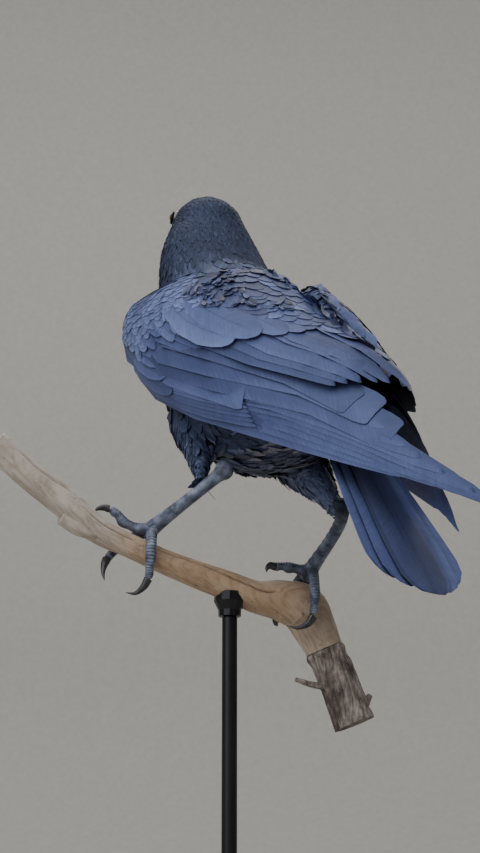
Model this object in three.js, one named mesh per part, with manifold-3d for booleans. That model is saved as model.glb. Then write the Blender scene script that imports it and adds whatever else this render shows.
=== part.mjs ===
// A common raven (Corvus corax), life size, standing across a cut branch that a plain stand holds up.
// Millimetres, +Z up, origin at the middle of the stand's underside. The bird faces -Y, its left is +X.
//
// Two frames are used. The body frame has X along the trunk towards the breast, Y to the bird's left
// and Z out of its back. The level frame (forward, left, up) starts at the same point and stays upright.
import * as THREE from "three";
import { mergeVertices } from "three/addons/utils/BufferGeometryUtils.js";
import Module from "manifold-3d";

const wasm = await Module();
wasm.setup();

const { degToRad, lerp, clamp } = THREE.MathUtils;
const V = (x, y, z) => new THREE.Vector3(x, y, z);

// ---- Driving dimensions ----
const GAP = 0.3; // the thin cut between neighbouring pieces
const BODY_AT = V(-20, 14, 457); // middle of the trunk, above the stand
const BODY_PITCH = degToRad(38); // breast up
const BODY_ROLL = degToRad(3);
const HEAD_AT = { forward: 88, left: 6, up: 150 }; // middle of the skull, level frame
const HEAD_TURN = degToRad(15); // to the bird's right
const HEAD_LIFT = degToRad(12); // bill above the level
const EYE_RADIUS = 6.8;
const TAIL_LENGTH = 230; // from the rump to the middle tips
const TAIL_DROP = degToRad(15); // below the line of the trunk
const TAIL_TURN = degToRad(1); // to the bird's left
const TAIL_FAN = degToRad(0.75); // between neighbouring tail feathers
const TAIL_ROLL = degToRad(3); // how much more each one leans than its neighbour
const TAIL_FEATHERS = 12;
const TAIL_STEP = 1.7; // how much shorter the feathers grow towards the sides
const BASE = { width: 240, depth: 190, thick: 16, corner: 22 };
const ROD_RADIUS = 6;

const birdTurn = new THREE.Euler(BODY_ROLL, -BODY_PITCH, -Math.PI / 2, "ZYX");
const toBody = new THREE.Matrix4()
  .compose(BODY_AT, new THREE.Quaternion().setFromEuler(birdTurn), V(1, 1, 1))
  .invert();

// A point of the world, and one of the level frame, in the body frame.
const fromWorld = (point) => point.clone().applyMatrix4(toBody);
const level = (forward, left, up) => fromWorld(V(left, -forward, up).add(BODY_AT));

// ---- Shape helpers ----

// Rows of [place, value, value, ...]: the values at a place between two rows, on a smooth curve.
function along(rows, place) {
  let i = 0;
  while (i < rows.length - 2 && place > rows[i + 1][0]) i += 1;
  const [a, b] = [rows[i], rows[i + 1]];
  const span = b[0] - a[0];
  const t = clamp((place - a[0]) / span, 0, 1);
  const slope = (j, k) => {
    const before = rows[Math.max(j - 1, 0)];
    const after = rows[Math.min(j + 1, rows.length - 1)];
    return (after[k] - before[k]) / (after[0] - before[0]);
  };
  return a.slice(1).map((_, n) => {
    const k = n + 1;
    const rise = span * (slope(i, k) * (t - 2 * t * t + t ** 3) + slope(i + 1, k) * (t ** 3 - t * t));
    return a[k] + (b[k] - a[k]) * (3 * t * t - 2 * t ** 3) + rise;
  });
}

// How far the first and last of a row of rings move out when a form is grown.
const beyondEnds = (i, all, grow) => (i === 0 ? -grow : i === all.length - 1 ? grow : 0);

// Evenly spaced places from the first row's to the last row's.
const places = (rows, count) =>
  Array.from({ length: count }, (_, i) => lerp(rows[0][0], rows.at(-1)[0], i / (count - 1)));

// A closed solid through rings of equally many points, closed at both ends.
function loft(rings) {
  const n = rings[0].length;
  const middle = (ring) => ring.reduce((sum, p) => sum.add(p), V(0, 0, 0)).divideScalar(n);
  const points = [...rings.flat(), middle(rings[0]), middle(rings.at(-1))];
  const faces = [];
  for (let i = 0; i < rings.length - 1; i += 1) {
    for (let k = 0; k < n; k += 1) {
      const [a, b] = [i * n + k, i * n + ((k + 1) % n)];
      faces.push(a, b, b + n, a, b + n, a + n);
    }
  }
  const last = (rings.length - 1) * n;
  for (let k = 0; k < n; k += 1) {
    const next = (k + 1) % n;
    faces.push(points.length - 2, next, k);
    faces.push(points.length - 1, last + k, last + next);
  }
  const geometry = new THREE.BufferGeometry().setFromPoints(points).setIndex(faces);
  const made = solid(geometry);
  if (made.volume() > 0) return made;
  geometry.index.array.reverse();
  return solid(geometry);
}

// An oval ring, u and v its half-axes' directions. A power over 2 makes it blunter than an ellipse,
// and flat, 1 or -1, squares off its half on that side of v.
function oval(centre, u, v, halfU, halfV, count, power = 2, flat = 0) {
  const bent = (value, by) => Math.sign(value) * Math.abs(value) ** (2 / by);
  return Array.from({ length: count }, (_, k) => {
    const angle = (2 * Math.PI * (k + 0.5)) / count;
    const by = Math.sign(Math.sin(angle)) === flat ? 7 : power;
    return centre
      .clone()
      .addScaledVector(u, halfU * bent(Math.cos(angle), by))
      .addScaledVector(v, halfV * bent(Math.sin(angle), by));
  });
}

// A round rod of changing radius along a smooth path, rows being [share of its length, radius].
function taper(path, radii, steps, sides, grow = 0) {
  const curve = new THREE.CatmullRomCurve3(path);
  const { normals, binormals } = curve.computeFrenetFrames(steps);
  return loft(
    normals.map((normal, i) => {
      const [radius] = along(radii, i / steps);
      return oval(curve.getPointAt(i / steps), normal, binormals[i], radius + grow, radius + grow, sides);
    }),
  );
}

function solid(geometry) {
  const bare = geometry.clone();
  bare.deleteAttribute("normal");
  bare.deleteAttribute("uv");
  const merged = mergeVertices(bare, 1e-3);
  return new wasm.Manifold(
    new wasm.Mesh({
      numProp: 3,
      vertProperties: merged.attributes.position.array,
      triVerts: new Uint32Array(merged.index.array),
    }),
  );
}

const joined = (solids) => solids.reduce((sum, next) => sum.add(next));
const cut = (from, ...tools) => tools.reduce((rest, tool) => rest.subtract(tool), from);
const largest = (made) => made.decompose().sort((a, b) => b.volume() - a.volume())[0];

function geometryOf(made) {
  const mesh = largest(made).getMesh();
  const position = new THREE.BufferAttribute(new Float32Array(mesh.vertProperties), 3);
  return new THREE.BufferGeometry()
    .setAttribute("position", position)
    .setIndex(new THREE.BufferAttribute(new Uint32Array(mesh.triVerts), 1));
}

// ---- Finishes ----
const plumage = new THREE.MeshStandardMaterial({ color: 0x1a1f33, roughness: 0.42, metalness: 0.1 });
const legSkin = new THREE.MeshStandardMaterial({ color: 0x2b2e36, roughness: 0.6 });
const horn = new THREE.MeshStandardMaterial({ color: 0x17181c, roughness: 0.32 });
const eyeDark = new THREE.MeshStandardMaterial({ color: 0x120c08, roughness: 0.04 });
const bareWood = new THREE.MeshStandardMaterial({ color: 0x94755a, roughness: 0.75 });
const bark = new THREE.MeshStandardMaterial({ color: 0x6a5f56, roughness: 0.9 });
const darkSteel = new THREE.MeshStandardMaterial({ color: 0x2a2a2c, roughness: 0.4, metalness: 0.8 });
const stainedWood = new THREE.MeshStandardMaterial({ color: 0x241a14, roughness: 0.45 });

const raven = new THREE.Group();
const bird = new THREE.Group();
bird.position.copy(BODY_AT);
bird.rotation.copy(birdTurn);
raven.add(bird);

function part(name, made, material, group = bird) {
  const mesh = new THREE.Mesh(geometryOf(made), material);
  mesh.name = name;
  group.add(mesh);
}

// ---- Trunk, neck and head, one form parted by thin cuts ----

// [along the trunk, half-width, back, belly]
const TRUNK = [
  [-124, 8, 14, 6],
  [-113, 24, 20, 24],
  [-90, 40, 32, 54],
  [-50, 56, 48, 86],
  [0, 66, 58, 94],
  [50, 68, 60, 88],
  [85, 62, 61, 68],
  [108, 52, 57, 48],
  [122, 38, 50, 32],
  [132, 14, 34, 14],
];

function trunkForm(grow) {
  return loft(
    places(TRUNK, 16).map((x, i, all) => {
      const [halfWidth, back, belly] = along(TRUNK, x);
      const centre = V(x + beyondEnds(i, all, grow), 0, (back - belly) / 2);
      return oval(centre, V(0, 1, 0), V(0, 0, 1), halfWidth + grow, (back + belly) / 2 + grow, 18, 2.15);
    }),
  );
}

// [up, forward, left, half-width, half-depth] of the neck's level rings
const NECK = [
  [28, 50, 0, 46, 46],
  [60, 61, 2, 55, 50],
  [88, 68, 4, 54, 47],
  [110, 75, 5, 50, 42.5],
  [131, 80, 6, 43, 38],
  [150, 84, 6, 34, 34],
  [165, 85, 6, 28.5, 28],
  [176, 85, 6, 18.5, 18],
  [180.5, 85, 6, 6, 7],
];

function neckForm(grow) {
  const ahead = level(1, 0, 0).sub(level(0, 0, 0));
  const left = level(0, 1, 0).sub(level(0, 0, 0));
  return loft(
    places(NECK, 11).map((up) => {
      const [forward, side, halfWidth, halfDepth] = along(NECK, up);
      return oval(level(forward, side, up), left, ahead, halfWidth + grow, halfDepth + grow, 14, 2.1);
    }),
  );
}

// The head's own frame: forward along the bill, left, up.
const headMatrix = new THREE.Matrix4();
{
  const turn = new THREE.Euler(0, -HEAD_LIFT, -HEAD_TURN, "ZYX");
  const axes = [V(1, 0, 0), V(0, 1, 0), V(0, 0, 1)].map((axis) => {
    const { x: forward, y: left, z: up } = axis.applyEuler(turn);
    return level(forward, left, up).sub(level(0, 0, 0));
  });
  headMatrix.makeBasis(...axes).setPosition(level(HEAD_AT.forward, HEAD_AT.left, HEAD_AT.up));
}
const inHead = (forward, left, up) => V(forward, left, up).applyMatrix4(headMatrix);

// Ovals across the head's own axis. Rows are [forward, half-width, top, bottom].
function headLoft(rows, count, sides, power, grow = 0, flat = 0) {
  const left = inHead(0, 1, 0).sub(inHead(0, 0, 0));
  const up = inHead(0, 0, 1).sub(inHead(0, 0, 0));
  return loft(
    places(rows, count).map((forward, i, all) => {
      const [halfWidth, top, bottom] = along(rows, forward);
      const centre = inHead(forward + beyondEnds(i, all, grow), 0, (top + bottom) / 2);
      return oval(centre, left, up, halfWidth + grow, (top - bottom) / 2 + grow, sides, power, flat);
    }),
  );
}

const SKULL = [
  [-37, 12, 10, -14],
  [-28, 25, 22, -26],
  [-12, 31, 29.5, -36],
  [5, 32, 30.5, -38],
  [20, 29.5, 27.5, -35],
  [33, 24, 22.5, -29],
  [44, 18, 18.2, -22],
  [54, 13.4, 15.6, -17],
  [60, 8, 12, -10],
];
const BILL_UPPER = [
  [36, 10, 12.5, -1.5],
  [50, 12, 15.4, -2],
  [66, 10.8, 15.2, -2.6],
  [82, 8.4, 12.6, -3.4],
  [96, 5.6, 7.4, -4.4],
  [105, 3, 1.6, -6],
  [111, 0.9, -5.4, -9],
];
const BILL_LOWER = [
  [36, 9.4, -2.1, -14],
  [50, 11, -2.6, -16.4],
  [66, 9.4, -3.2, -15.4],
  [82, 6.8, -4, -13],
  [95, 4.2, -4.9, -10.8],
  [103, 1.8, -6.4, -9.4],
];

// The eyeball's middle, by its side: +1 the left eye, -1 the right.
const EYE = { forward: 15, out: 24.2, up: 11 };

function eyeSolid(side, radius) {
  const ball = new THREE.SphereGeometry(radius, 8, 6);
  const at = inHead(EYE.forward, side * EYE.out, EYE.up);
  return solid(ball.translate(at.x, at.y, at.z));
}

const upperBill = (grow = 0) => headLoft(BILL_UPPER, 10, 12, 1.9, grow, -1);
const lowerBill = (grow = 0) => headLoft(BILL_LOWER, 9, 10, 2, grow, 1);
const skull = (grow = 0) => headLoft(SKULL, 11, 14, 2.1, grow);
const bodyForm = joined([trunkForm(0), neckForm(0), skull()]);
const bodySpace = joined([trunkForm(GAP), neckForm(GAP), skull(GAP)]);

// The cuts: planes across the neck, one above the breast and one below the cheeks.
const REACH = 400;
const NECK_CUT = { up: 84, tip: degToRad(-24) };
const HEAD_CUT = { up: 122, tip: degToRad(-8) };

function above(plane, lift) {
  const lean = new THREE.Matrix4().makeRotationX(plane.tip);
  const rise = new THREE.Matrix4().setPosition(V(0, -75, plane.up).add(BODY_AT));
  const geometry = new THREE.BoxGeometry(2 * REACH, 2 * REACH, REACH);
  geometry.translate(0, 0, REACH / 2 + lift);
  return solid(geometry.applyMatrix4(lean.premultiply(rise).premultiply(toBody)));
}

const hollows = joined([
  eyeSolid(1, EYE_RADIUS + GAP),
  eyeSolid(-1, EYE_RADIUS + GAP),
  upperBill(GAP),
  lowerBill(GAP),
]);

part("trunk", cut(bodyForm, above(NECK_CUT, 0)), plumage);
part("neck", cut(bodyForm.intersect(above(NECK_CUT, GAP)), above(HEAD_CUT, 0)), plumage);
part("head", cut(bodyForm.intersect(above(HEAD_CUT, GAP)), hollows), plumage);
part("bill_upper", upperBill(), horn);
part("bill_lower", lowerBill(), horn);
part("eye_left", eyeSolid(1, EYE_RADIUS), eyeDark);
part("eye_right", eyeSolid(-1, EYE_RADIUS), eyeDark);

// ---- Wings, folded: the upper fold ends in the tertials, the lower fold in the long primaries ----

// [along the trunk, top edge left, top edge up, bottom edge left, bottom edge up, bulge, thickness]
const UPPER_FOLD = [
  [-180, -15, 54, -8, 51, 1, 2],
  [-165, -9, 61, 10, 44, 6, 4],
  [-140, -2, 65, 31, 24, 14, 6],
  [-100, 5, 66, 54, -8, 23, 9],
  [-50, 10, 68, 74, -32, 31, 14],
  [0, 17, 69, 81, -46, 33, 20],
  [50, 35, 51, 82, -50, 20, 24],
  [78, 53, 25, 80, -44, 10, 21],
  [96, 62, 4, 76, -34, 7, 16],
  [105, 65, -5, 71, -22, 3, 9],
];
const LOWER_FOLD = [
  [-317, -25, 23, -22, 20, 0.5, 2],
  [-290, -15, 28, -9, 14, 1, 3],
  [-250, -2, 32, 12, 5, 2, 4],
  [-200, 13, 37, 34, -7, 3, 5],
  [-150, 28, 38, 53, -19, 6, 6],
  [-100, 50, 26, 69, -30, 8, 8],
  [-50, 66, 8, 78, -43, 9, 10],
  [0, 76, -6, 81, -52, 8, 12],
  [40, 78, -12, 79, -53, 6, 12],
  [66, 75, -18, 76, -46, 4, 8],
];
// The right wing lies under the left one, its tip nearer the middle line and the tail.
const UNDER = { from: -60, across: 26, down: 22, seat: 1 };

// One flat ring of a folded wing: an outward bow from the top edge to the bottom edge and back inside it.
function wingRing(x, row, side, grow, bowPoints = 6) {
  const [topLeft, topUp, lowLeft, lowUp, bulge, thick] = row;
  const under = side < 0 ? clamp((UNDER.from - x) / (317 + UNDER.from), 0, 1) : 0;
  const seat = side < 0 ? UNDER.seat : 0;
  const place = (across, up) =>
    V(x, side * (across + UNDER.across * under), up - seat - UNDER.down * under);
  const edge = V(0, lowLeft - topLeft, lowUp - topUp);
  const run = edge.length();
  const down = edge.divideScalar(run);
  const out = V(0, -down.z, down.y);
  const ring = [];
  for (const inner of [0, 1]) {
    for (let i = 0; i < bowPoints; i += 1) {
      const t = inner ? 1 - i / (bowPoints - 1) : i / (bowPoints - 1);
      const end = t < 0.01 ? -grow : t > 0.99 ? grow : 0;
      const bow = bulge * 4 * t * (1 - t) * (inner ? 0.8 : 1);
      const depth = inner ? -thick / 2 - grow : thick / 2 + grow;
      const taperOff = inner ? 1 : 1 - (2 * t - 1) ** 4 * 0.5;
      const at = V(0, topLeft, topUp)
        .addScaledVector(down, t * run + end)
        .addScaledVector(out, bow + depth * taperOff);
      ring.push(place(at.y, at.z));
    }
  }
  return ring;
}

function fold(rows, count, side, grow) {
  return loft(
    places(rows, count).map((x, i, all) =>
      wingRing(x + beyondEnds(i, all, grow), along(rows, x), side, grow),
    ),
  );
}

const wing = (side, grow = 0) => joined([fold(UPPER_FOLD, 13, side, grow), fold(LOWER_FOLD, 12, side, grow)]);
const wingSpaces = { left: wing(1, GAP), right: wing(-1, GAP) };

part("wing_left", cut(wing(1), bodySpace), plumage);
part("wing_right", cut(wing(-1), bodySpace, wing(1, 3 * GAP), wing(1, GAP), wing(1)), plumage);

// ---- Tail: twelve blades, closed to a narrow fan, the middle pair on top and longest ----
const TAIL_ROOT = V(-98, -7, 13);
const ROOT_SPACING = { side: 2.4, down: 1.3 };
const BLADE = [
  [0, 6.5],
  [0.45, 12],
  [0.82, 15.5],
  [0.94, 13],
  [1, 5],
];
const BLADE_THICK = 1.4;

function blade(root, direction, across, face, length) {
  return loft(
    BLADE.map(([t, half]) => {
      const at = root.clone().addScaledVector(direction, t * length);
      const point = (side, rise) => at.clone().addScaledVector(across, side).addScaledVector(face, rise);
      const rise = BLADE_THICK / 2;
      return [point(-half, -rise), point(half, -rise), point(half, rise), point(-half, rise)];
    }),
  );
}

const tailBlades = Array.from({ length: TAIL_FEATHERS }, (_, i) => {
  const out = i - (TAIL_FEATHERS - 1) / 2;
  const turn = new THREE.Matrix4()
    .makeRotationY(-TAIL_DROP)
    .multiply(new THREE.Matrix4().makeRotationZ(-out * TAIL_FAN - TAIL_TURN))
    .multiply(new THREE.Matrix4().makeRotationX(out * TAIL_ROLL));
  const [back, side, face] = [V(-1, 0, 0), V(0, 1, 0), V(0, 0, 1)].map((axis) => axis.applyMatrix4(turn));
  const root = TAIL_ROOT.clone().add(V(0, out * ROOT_SPACING.side, -Math.abs(out) * ROOT_SPACING.down));
  return blade(root, back, side, face, TAIL_LENGTH - TAIL_STEP * Math.abs(out) ** 1.5);
});
part("tail", cut(joined(tailBlades), bodySpace, wingSpaces.left, wingSpaces.right), plumage);

// ---- The perch: a length of dead branch that bends down past the bird's right foot ----

// [x, y, z, radius] along its middle, world frame
const PERCH = [
  [189, -44, 369, 12],
  [162, -38.4, 345.4, 11.4],
  [134, -32.6, 325.9, 12.2],
  [105, -26.7, 304.7, 11],
  [83, -22.1, 295.1, 10.3],
  [57, -16.7, 284.9, 10.3],
  [31.7, -11.4, 276.9, 10.8],
  [4, -5.7, 268.2, 12],
  [-22, -0.4, 260, 13.8],
  [-43, 4.2, 258.5, 18],
  [-60, 7.5, 253, 20],
  [-71, 9.8, 237, 17.6],
  [-79, 11.9, 218.7, 15.4],
  [-89, 17.6, 190.7, 16],
  [-99, 23.3, 161.4, 17.4],
];
const PERCH_RINGS = 25;
const PERCH_SIDES = 12;
const BARK_FROM = 0.85; // share of the way along where the bark begins

const perchMiddle = new THREE.CatmullRomCurve3(PERCH.map(([x, y, z]) => V(x, y, z)));
const perchRadius = new THREE.CatmullRomCurve3(PERCH.map(([, , , radius]) => V(radius, 0, 0)));

// Axes across the perch at a share of the way along: towards the bird's front, and out of the top.
function perchAxes(share) {
  const along = perchMiddle.getTangent(share).negate();
  const top = V(0, 1, 0).cross(along).negate().normalize();
  const ahead = along.clone().cross(top);
  return { along, top, ahead };
}

function perchRing(share, grow) {
  const { top, ahead } = perchAxes(share);
  const middle = perchMiddle.getPoint(share);
  const radius = perchRadius.getPoint(share).x;
  return Array.from({ length: PERCH_SIDES }, (_, k) => {
    const angle = (2 * Math.PI * k) / PERCH_SIDES;
    const uneven = 1 + 0.035 * Math.sin(2 * angle + 19 * share) + 0.025 * Math.sin(3 * angle - 31 * share);
    return middle
      .clone()
      .addScaledVector(top, (radius * uneven + grow) * Math.cos(angle))
      .addScaledVector(ahead, (radius * uneven + grow) * Math.sin(angle));
  });
}

function perchLength(from, to, grow = 0) {
  const count = Math.max(2, Math.round(PERCH_RINGS * (to - from)));
  return loft(Array.from({ length: count + 1 }, (_, i) => perchRing(lerp(from, to, i / count), grow)));
}

const perchSpan = perchMiddle.getLength();
const barkGap = (2 * GAP) / perchSpan;
const bareBranch = perchLength(0, BARK_FROM);
const perchSpace = perchLength(0, 1, GAP);
const toBodyFrame = (made) => solid(geometryOf(made).applyMatrix4(toBody));
const perchAsSeen = toBodyFrame(perchSpace);

// A broken knot on the underside of the bare wood, and two broken side twigs off the bark.
const KNOT = { path: [V(108, -27, 304), V(122, -29.5, 306.5), V(137, -31.5, 313)], thick: 8.5, end: 5.6 };
const TWIGS = [
  { path: [V(-84, 16, 190), V(-66, 15, 191), V(-50, 13, 194.5)], thick: 3.4, end: 1.8 },
  { path: [V(-96, 20, 172), V(-112, 17, 177), V(-119, 15, 186)], thick: 4.2, end: 2.4 },
];
const twig = ({ path, thick, end }) =>
  taper(
    path,
    [
      [0, thick],
      [1, end],
    ],
    4,
    8,
  );

part("perch_branch", joined([bareBranch, twig(KNOT)]), bareWood, raven);
part("perch_stub", joined([perchLength(BARK_FROM + barkGap, 1), ...TWIGS.map(twig)]), bark, raven);

// ---- Legs ----

// Places round the perch from a foot: [along it to the bird's left, angle ahead of the top, height off it].
function roundPerch(share) {
  const { along, top, ahead } = perchAxes(share);
  const middle = perchMiddle.getPoint(share);
  const radius = perchRadius.getPoint(share).x;
  return ([sideways, degrees, height]) => {
    const angle = degToRad(degrees);
    const reach = radius + height;
    return fromWorld(
      middle
        .clone()
        .addScaledVector(along, sideways)
        .addScaledVector(top, reach * Math.cos(angle))
        .addScaledVector(ahead, reach * Math.sin(angle)),
    );
  };
}

const TARSUS = [
  [0, 5],
  [0.08, 6.8],
  [0.2, 6.8],
  [0.32, 5.2],
  [0.65, 4.6],
  [0.88, 5.2],
  [1, 6.2],
];
const TOE = [
  [0, 4.9],
  [0.3, 4.1],
  [0.55, 4.3],
  [0.8, 3.5],
  [1, 3.3],
];
const CLAW = [
  [0, 2.9],
  [0.4, 2.2],
  [0.8, 1.1],
  [1, 0.4],
];
const KNUCKLE_RADIUS = 7;

const LEGS = {
  left: {
    share: 0.333,
    knuckle: [6, -4, 10.5],
    shin: [level(-25, 46, -104), level(-20, 59, -117)],
    thigh: [level(20, 30, -8), level(40, 40, -42), level(20, 48, -80), level(-1, 58, -107), level(-8, 62, -117)],
    fullness: [
      [0, 28],
      [0.3, 26],
      [0.62, 15],
      [0.88, 7.5],
      [1, 4],
    ],
    toes: {
      hallux: [[[6, -24, 8], [5, -62, 5.8], [2, -100, 5], [-2, -140, 6], [-5, -162, 9]],
        [[-5.4, -165, 10.5], [-4.6, -174, 17], [-1, -181, 23], [6, -186, 25]]],
      inner: [[[3, 18, 8], [-3, 50, 5.6], [-6, 88, 5], [-8, 118, 5.2]],
        [[-8, 122, 5.4], [-8, 138, 6], [-7, 152, 4.6], [-7, 160, 2.6]]],
      middle: [[[9, 16, 8], [16, 46, 5.8], [22, 80, 5], [26, 115, 5], [28, 140, 6]],
        [[28.6, 144, 7], [29, 158, 11], [28, 168, 17], [25, 174, 23]]],
      outer: [[[10, -2, 8.5], [19, 4, 6.4], [29, 5, 7.4], [36, 6, 11.4], [42, 6, 12.6]],
        [[43, 6, 12.5], [47, 6, 11.6], [51, 6, 8.6], [53, 6, 5]]],
    },
  },
  right: {
    share: 0.66,
    knuckle: [-15, 2, 10.5],
    shin: [level(-60, -36, -128), level(-54, -40, -141)],
    thigh: [level(10, -30, -30), level(20, -42, -66), level(-8, -42, -96), level(-38, -40, -124), level(-50, -39, -136)],
    fullness: [
      [0, 30],
      [0.3, 28],
      [0.62, 18],
      [0.88, 9],
      [1, 5.5],
    ],
    toes: {
      hallux: [[[-14, -20, 10], [-13.5, -46, 6.8], [-14, -74, 5.6], [-15, -100, 5.8], [-16, -116, 7]],
        [[-16, -119, 8], [-13, -132, 10.5], [-7, -144, 10.5], [1, -151, 7.5]]],
      inner: [[[-11, -4, 10.5], [-3, -6, 9.6], [7, -9, 8.6], [16, -11, 6.6]],
        [[16.8, -11.4, 6.4], [21, -14, 6], [23.6, -19, 3.2], [23.6, -24, 0.2]]],
      middle: [[[-13, 20, 10], [-9, 46, 6.4], [-5, 72, 5], [-2, 98, 5.2]],
        [[-1.5, 102, 5.6], [-1, 114, 7.4], [-1, 126, 6.4], [-1, 134, 4]]],
      outer: [[[-19, 18, 9.5], [-22, 48, 6.8], [-23, 76, 6], [-22, 98, 6.4]],
        [[-21.5, 102, 6.6], [-20.5, 113, 7.8], [-19.5, 124, 6.6], [-19, 131, 4.2]]],
    },
  },
};

function knuckleBall(at, grow = 0) {
  const ball = new THREE.SphereGeometry(KNUCKLE_RADIUS + grow, 8, 6);
  return solid(ball.translate(at.x, at.y, at.z));
}

for (const [side, leg] of Object.entries(LEGS)) {
  const onPerch = roundPerch(leg.share);
  const knuckle = onPerch(leg.knuckle);
  const shank = (grow) =>
    joined([taper([...leg.shin, knuckle], TARSUS, 9, 8, grow), knuckleBall(knuckle, grow)]);
  part(`thigh_${side}`, cut(taper(leg.thigh, leg.fullness, 8, 12), bodySpace, wingSpaces[side], shank(GAP)), plumage);
  part(`tarsus_${side}`, cut(shank(0), perchAsSeen), legSkin);
  const taken = [shank(GAP), perchAsSeen];
  for (const [toe, [pad, nail]] of Object.entries(leg.toes)) {
    const toePath = pad.map(onPerch);
    const clawPath = nail.map(onPerch);
    const toeForm = taper(toePath, TOE, 6, 7);
    part(`toe_${side}_${toe}`, cut(toeForm, ...taken), legSkin);
    const toeSpace = taper(toePath, TOE, 6, 7, GAP);
    part(`claw_${side}_${toe}`, cut(taper(clawPath, CLAW, 5, 6), toeSpace, perchAsSeen), horn);
    taken.push(toeSpace);
  }
}

// ---- Stand: a flat base, one rod and a cradle under the perch ----
const CRADLE = { z: 243, stem: 9, cup: 12.5, top: 262 };
const standAt = [0, -5];

function turned(profile, sides = 12) {
  const points = profile.map(([radius, z]) => new THREE.Vector2(radius, z));
  const geometry = new THREE.LatheGeometry(points, sides).rotateX(Math.PI / 2);
  return solid(geometry.translate(standAt[0], standAt[1], 0));
}

function roundedPlate({ width, depth, thick, corner }) {
  const [w, d, bevel] = [width / 2, depth / 2, 1.5];
  const outline = new THREE.Shape();
  outline.moveTo(w - corner, -d);
  outline.absarc(w - corner, -d + corner, corner, -Math.PI / 2, 0);
  outline.absarc(w - corner, d - corner, corner, 0, Math.PI / 2);
  outline.absarc(-w + corner, d - corner, corner, Math.PI / 2, Math.PI);
  outline.absarc(-w + corner, -d + corner, corner, Math.PI, 1.5 * Math.PI);
  const extrusion = {
    depth: thick - 2 * bevel,
    bevelSize: bevel,
    bevelOffset: -bevel,
    bevelThickness: bevel,
    bevelSegments: 1,
    curveSegments: 3,
  };
  return solid(new THREE.ExtrudeGeometry(outline, extrusion).translate(0, 0, bevel));
}

const rodFoot = BASE.thick + GAP;
const rodTop = CRADLE.z - GAP;
part("stand_base", roundedPlate(BASE), stainedWood, raven);
part(
  "stand_rod",
  turned([
    [0, rodFoot],
    [ROD_RADIUS, rodFoot],
    [ROD_RADIUS, rodTop],
    [0, rodTop],
  ]),
  darkSteel,
  raven,
);
part(
  "stand_collar",
  turned([
    [ROD_RADIUS + GAP, rodFoot],
    [15, rodFoot],
    [15, rodFoot + 3],
    [9.5, rodFoot + 9],
    [ROD_RADIUS + GAP, rodFoot + 9],
    [ROD_RADIUS + GAP, rodFoot],
  ]),
  darkSteel,
  raven,
);
part(
  "stand_cradle",
  cut(
    turned([
      [0, CRADLE.z],
      [CRADLE.stem, CRADLE.z],
      [CRADLE.stem, CRADLE.z + 5],
      [CRADLE.cup, CRADLE.z + 12],
      [CRADLE.cup, CRADLE.top],
      [0, CRADLE.top],
    ]),
    perchSpace,
  ),
  darkSteel,
  raven,
);

export default raven;
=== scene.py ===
# The looks of a life-size raven standing across a cut branch on a plain display stand.
# Metres, +Z up, origin at the middle of the stand's underside. The bird faces -Y, its left is +X.
import math

import bmesh
import bpy
import numpy as np
from mathutils import Matrix, Vector
from mathutils.bvhtree import BVHTree
from mathutils.kdtree import KDTree


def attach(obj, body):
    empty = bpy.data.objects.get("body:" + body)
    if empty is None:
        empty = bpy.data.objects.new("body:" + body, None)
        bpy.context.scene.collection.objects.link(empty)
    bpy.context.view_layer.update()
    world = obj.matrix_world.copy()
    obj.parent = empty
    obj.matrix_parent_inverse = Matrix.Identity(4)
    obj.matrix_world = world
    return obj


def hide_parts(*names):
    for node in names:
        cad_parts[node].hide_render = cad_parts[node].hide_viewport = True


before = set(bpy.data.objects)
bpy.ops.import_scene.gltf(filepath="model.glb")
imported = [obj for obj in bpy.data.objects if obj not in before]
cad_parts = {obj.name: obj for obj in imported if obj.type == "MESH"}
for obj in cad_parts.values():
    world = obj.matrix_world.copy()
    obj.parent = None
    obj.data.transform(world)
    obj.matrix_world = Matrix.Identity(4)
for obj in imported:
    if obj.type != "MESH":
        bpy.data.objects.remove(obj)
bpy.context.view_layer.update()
MM = 0.001  # metres
rng = np.random.default_rng(20240)

# ---- Camera: low behind the bird's left shoulder, looking up at it a little ----
CAMERA_AT = (0.608, 1.0646, 0.0248)
CAMERA_AHEAD = (-0.478, -0.828, 0.2923)
CAMERA_LENS, CAMERA_SENSOR = 65.9, 36.0

camera = bpy.data.objects.new("camera", bpy.data.cameras.new("camera"))
camera.data.lens = CAMERA_LENS
camera.data.sensor_fit = "VERTICAL"
camera.data.sensor_height = CAMERA_SENSOR
camera.data.clip_end = 20
camera.location = CAMERA_AT
camera.rotation_euler = Vector(CAMERA_AHEAD).to_track_quat("-Z", "Y").to_euler()
bpy.context.scene.collection.objects.link(camera)
bpy.context.scene.camera = camera

# ---- Floor: a pale matt sheet that turns up into a backdrop all round ----
FLOOR_RADIUS, WALL_CURVE, WALL_HEIGHT, FLOOR_SIDES = 2.6, 0.7, 3.2, 96
FLOOR_COLOUR = (0.46, 0.445, 0.41)


def new_piece(name, points, faces, material, smooth=True):
    """A mesh object from points and faces, linked into the scene."""
    mesh = bpy.data.meshes.new(name)
    mesh.from_pydata(np.asarray(points, float).tolist(), [], [list(map(int, f)) for f in faces])
    mesh.polygons.foreach_set("use_smooth", [smooth] * len(mesh.polygons))
    mesh.materials.append(material)
    mesh.update()
    made = bpy.data.objects.new(name, mesh)
    bpy.context.scene.collection.objects.link(made)
    return made


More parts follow.
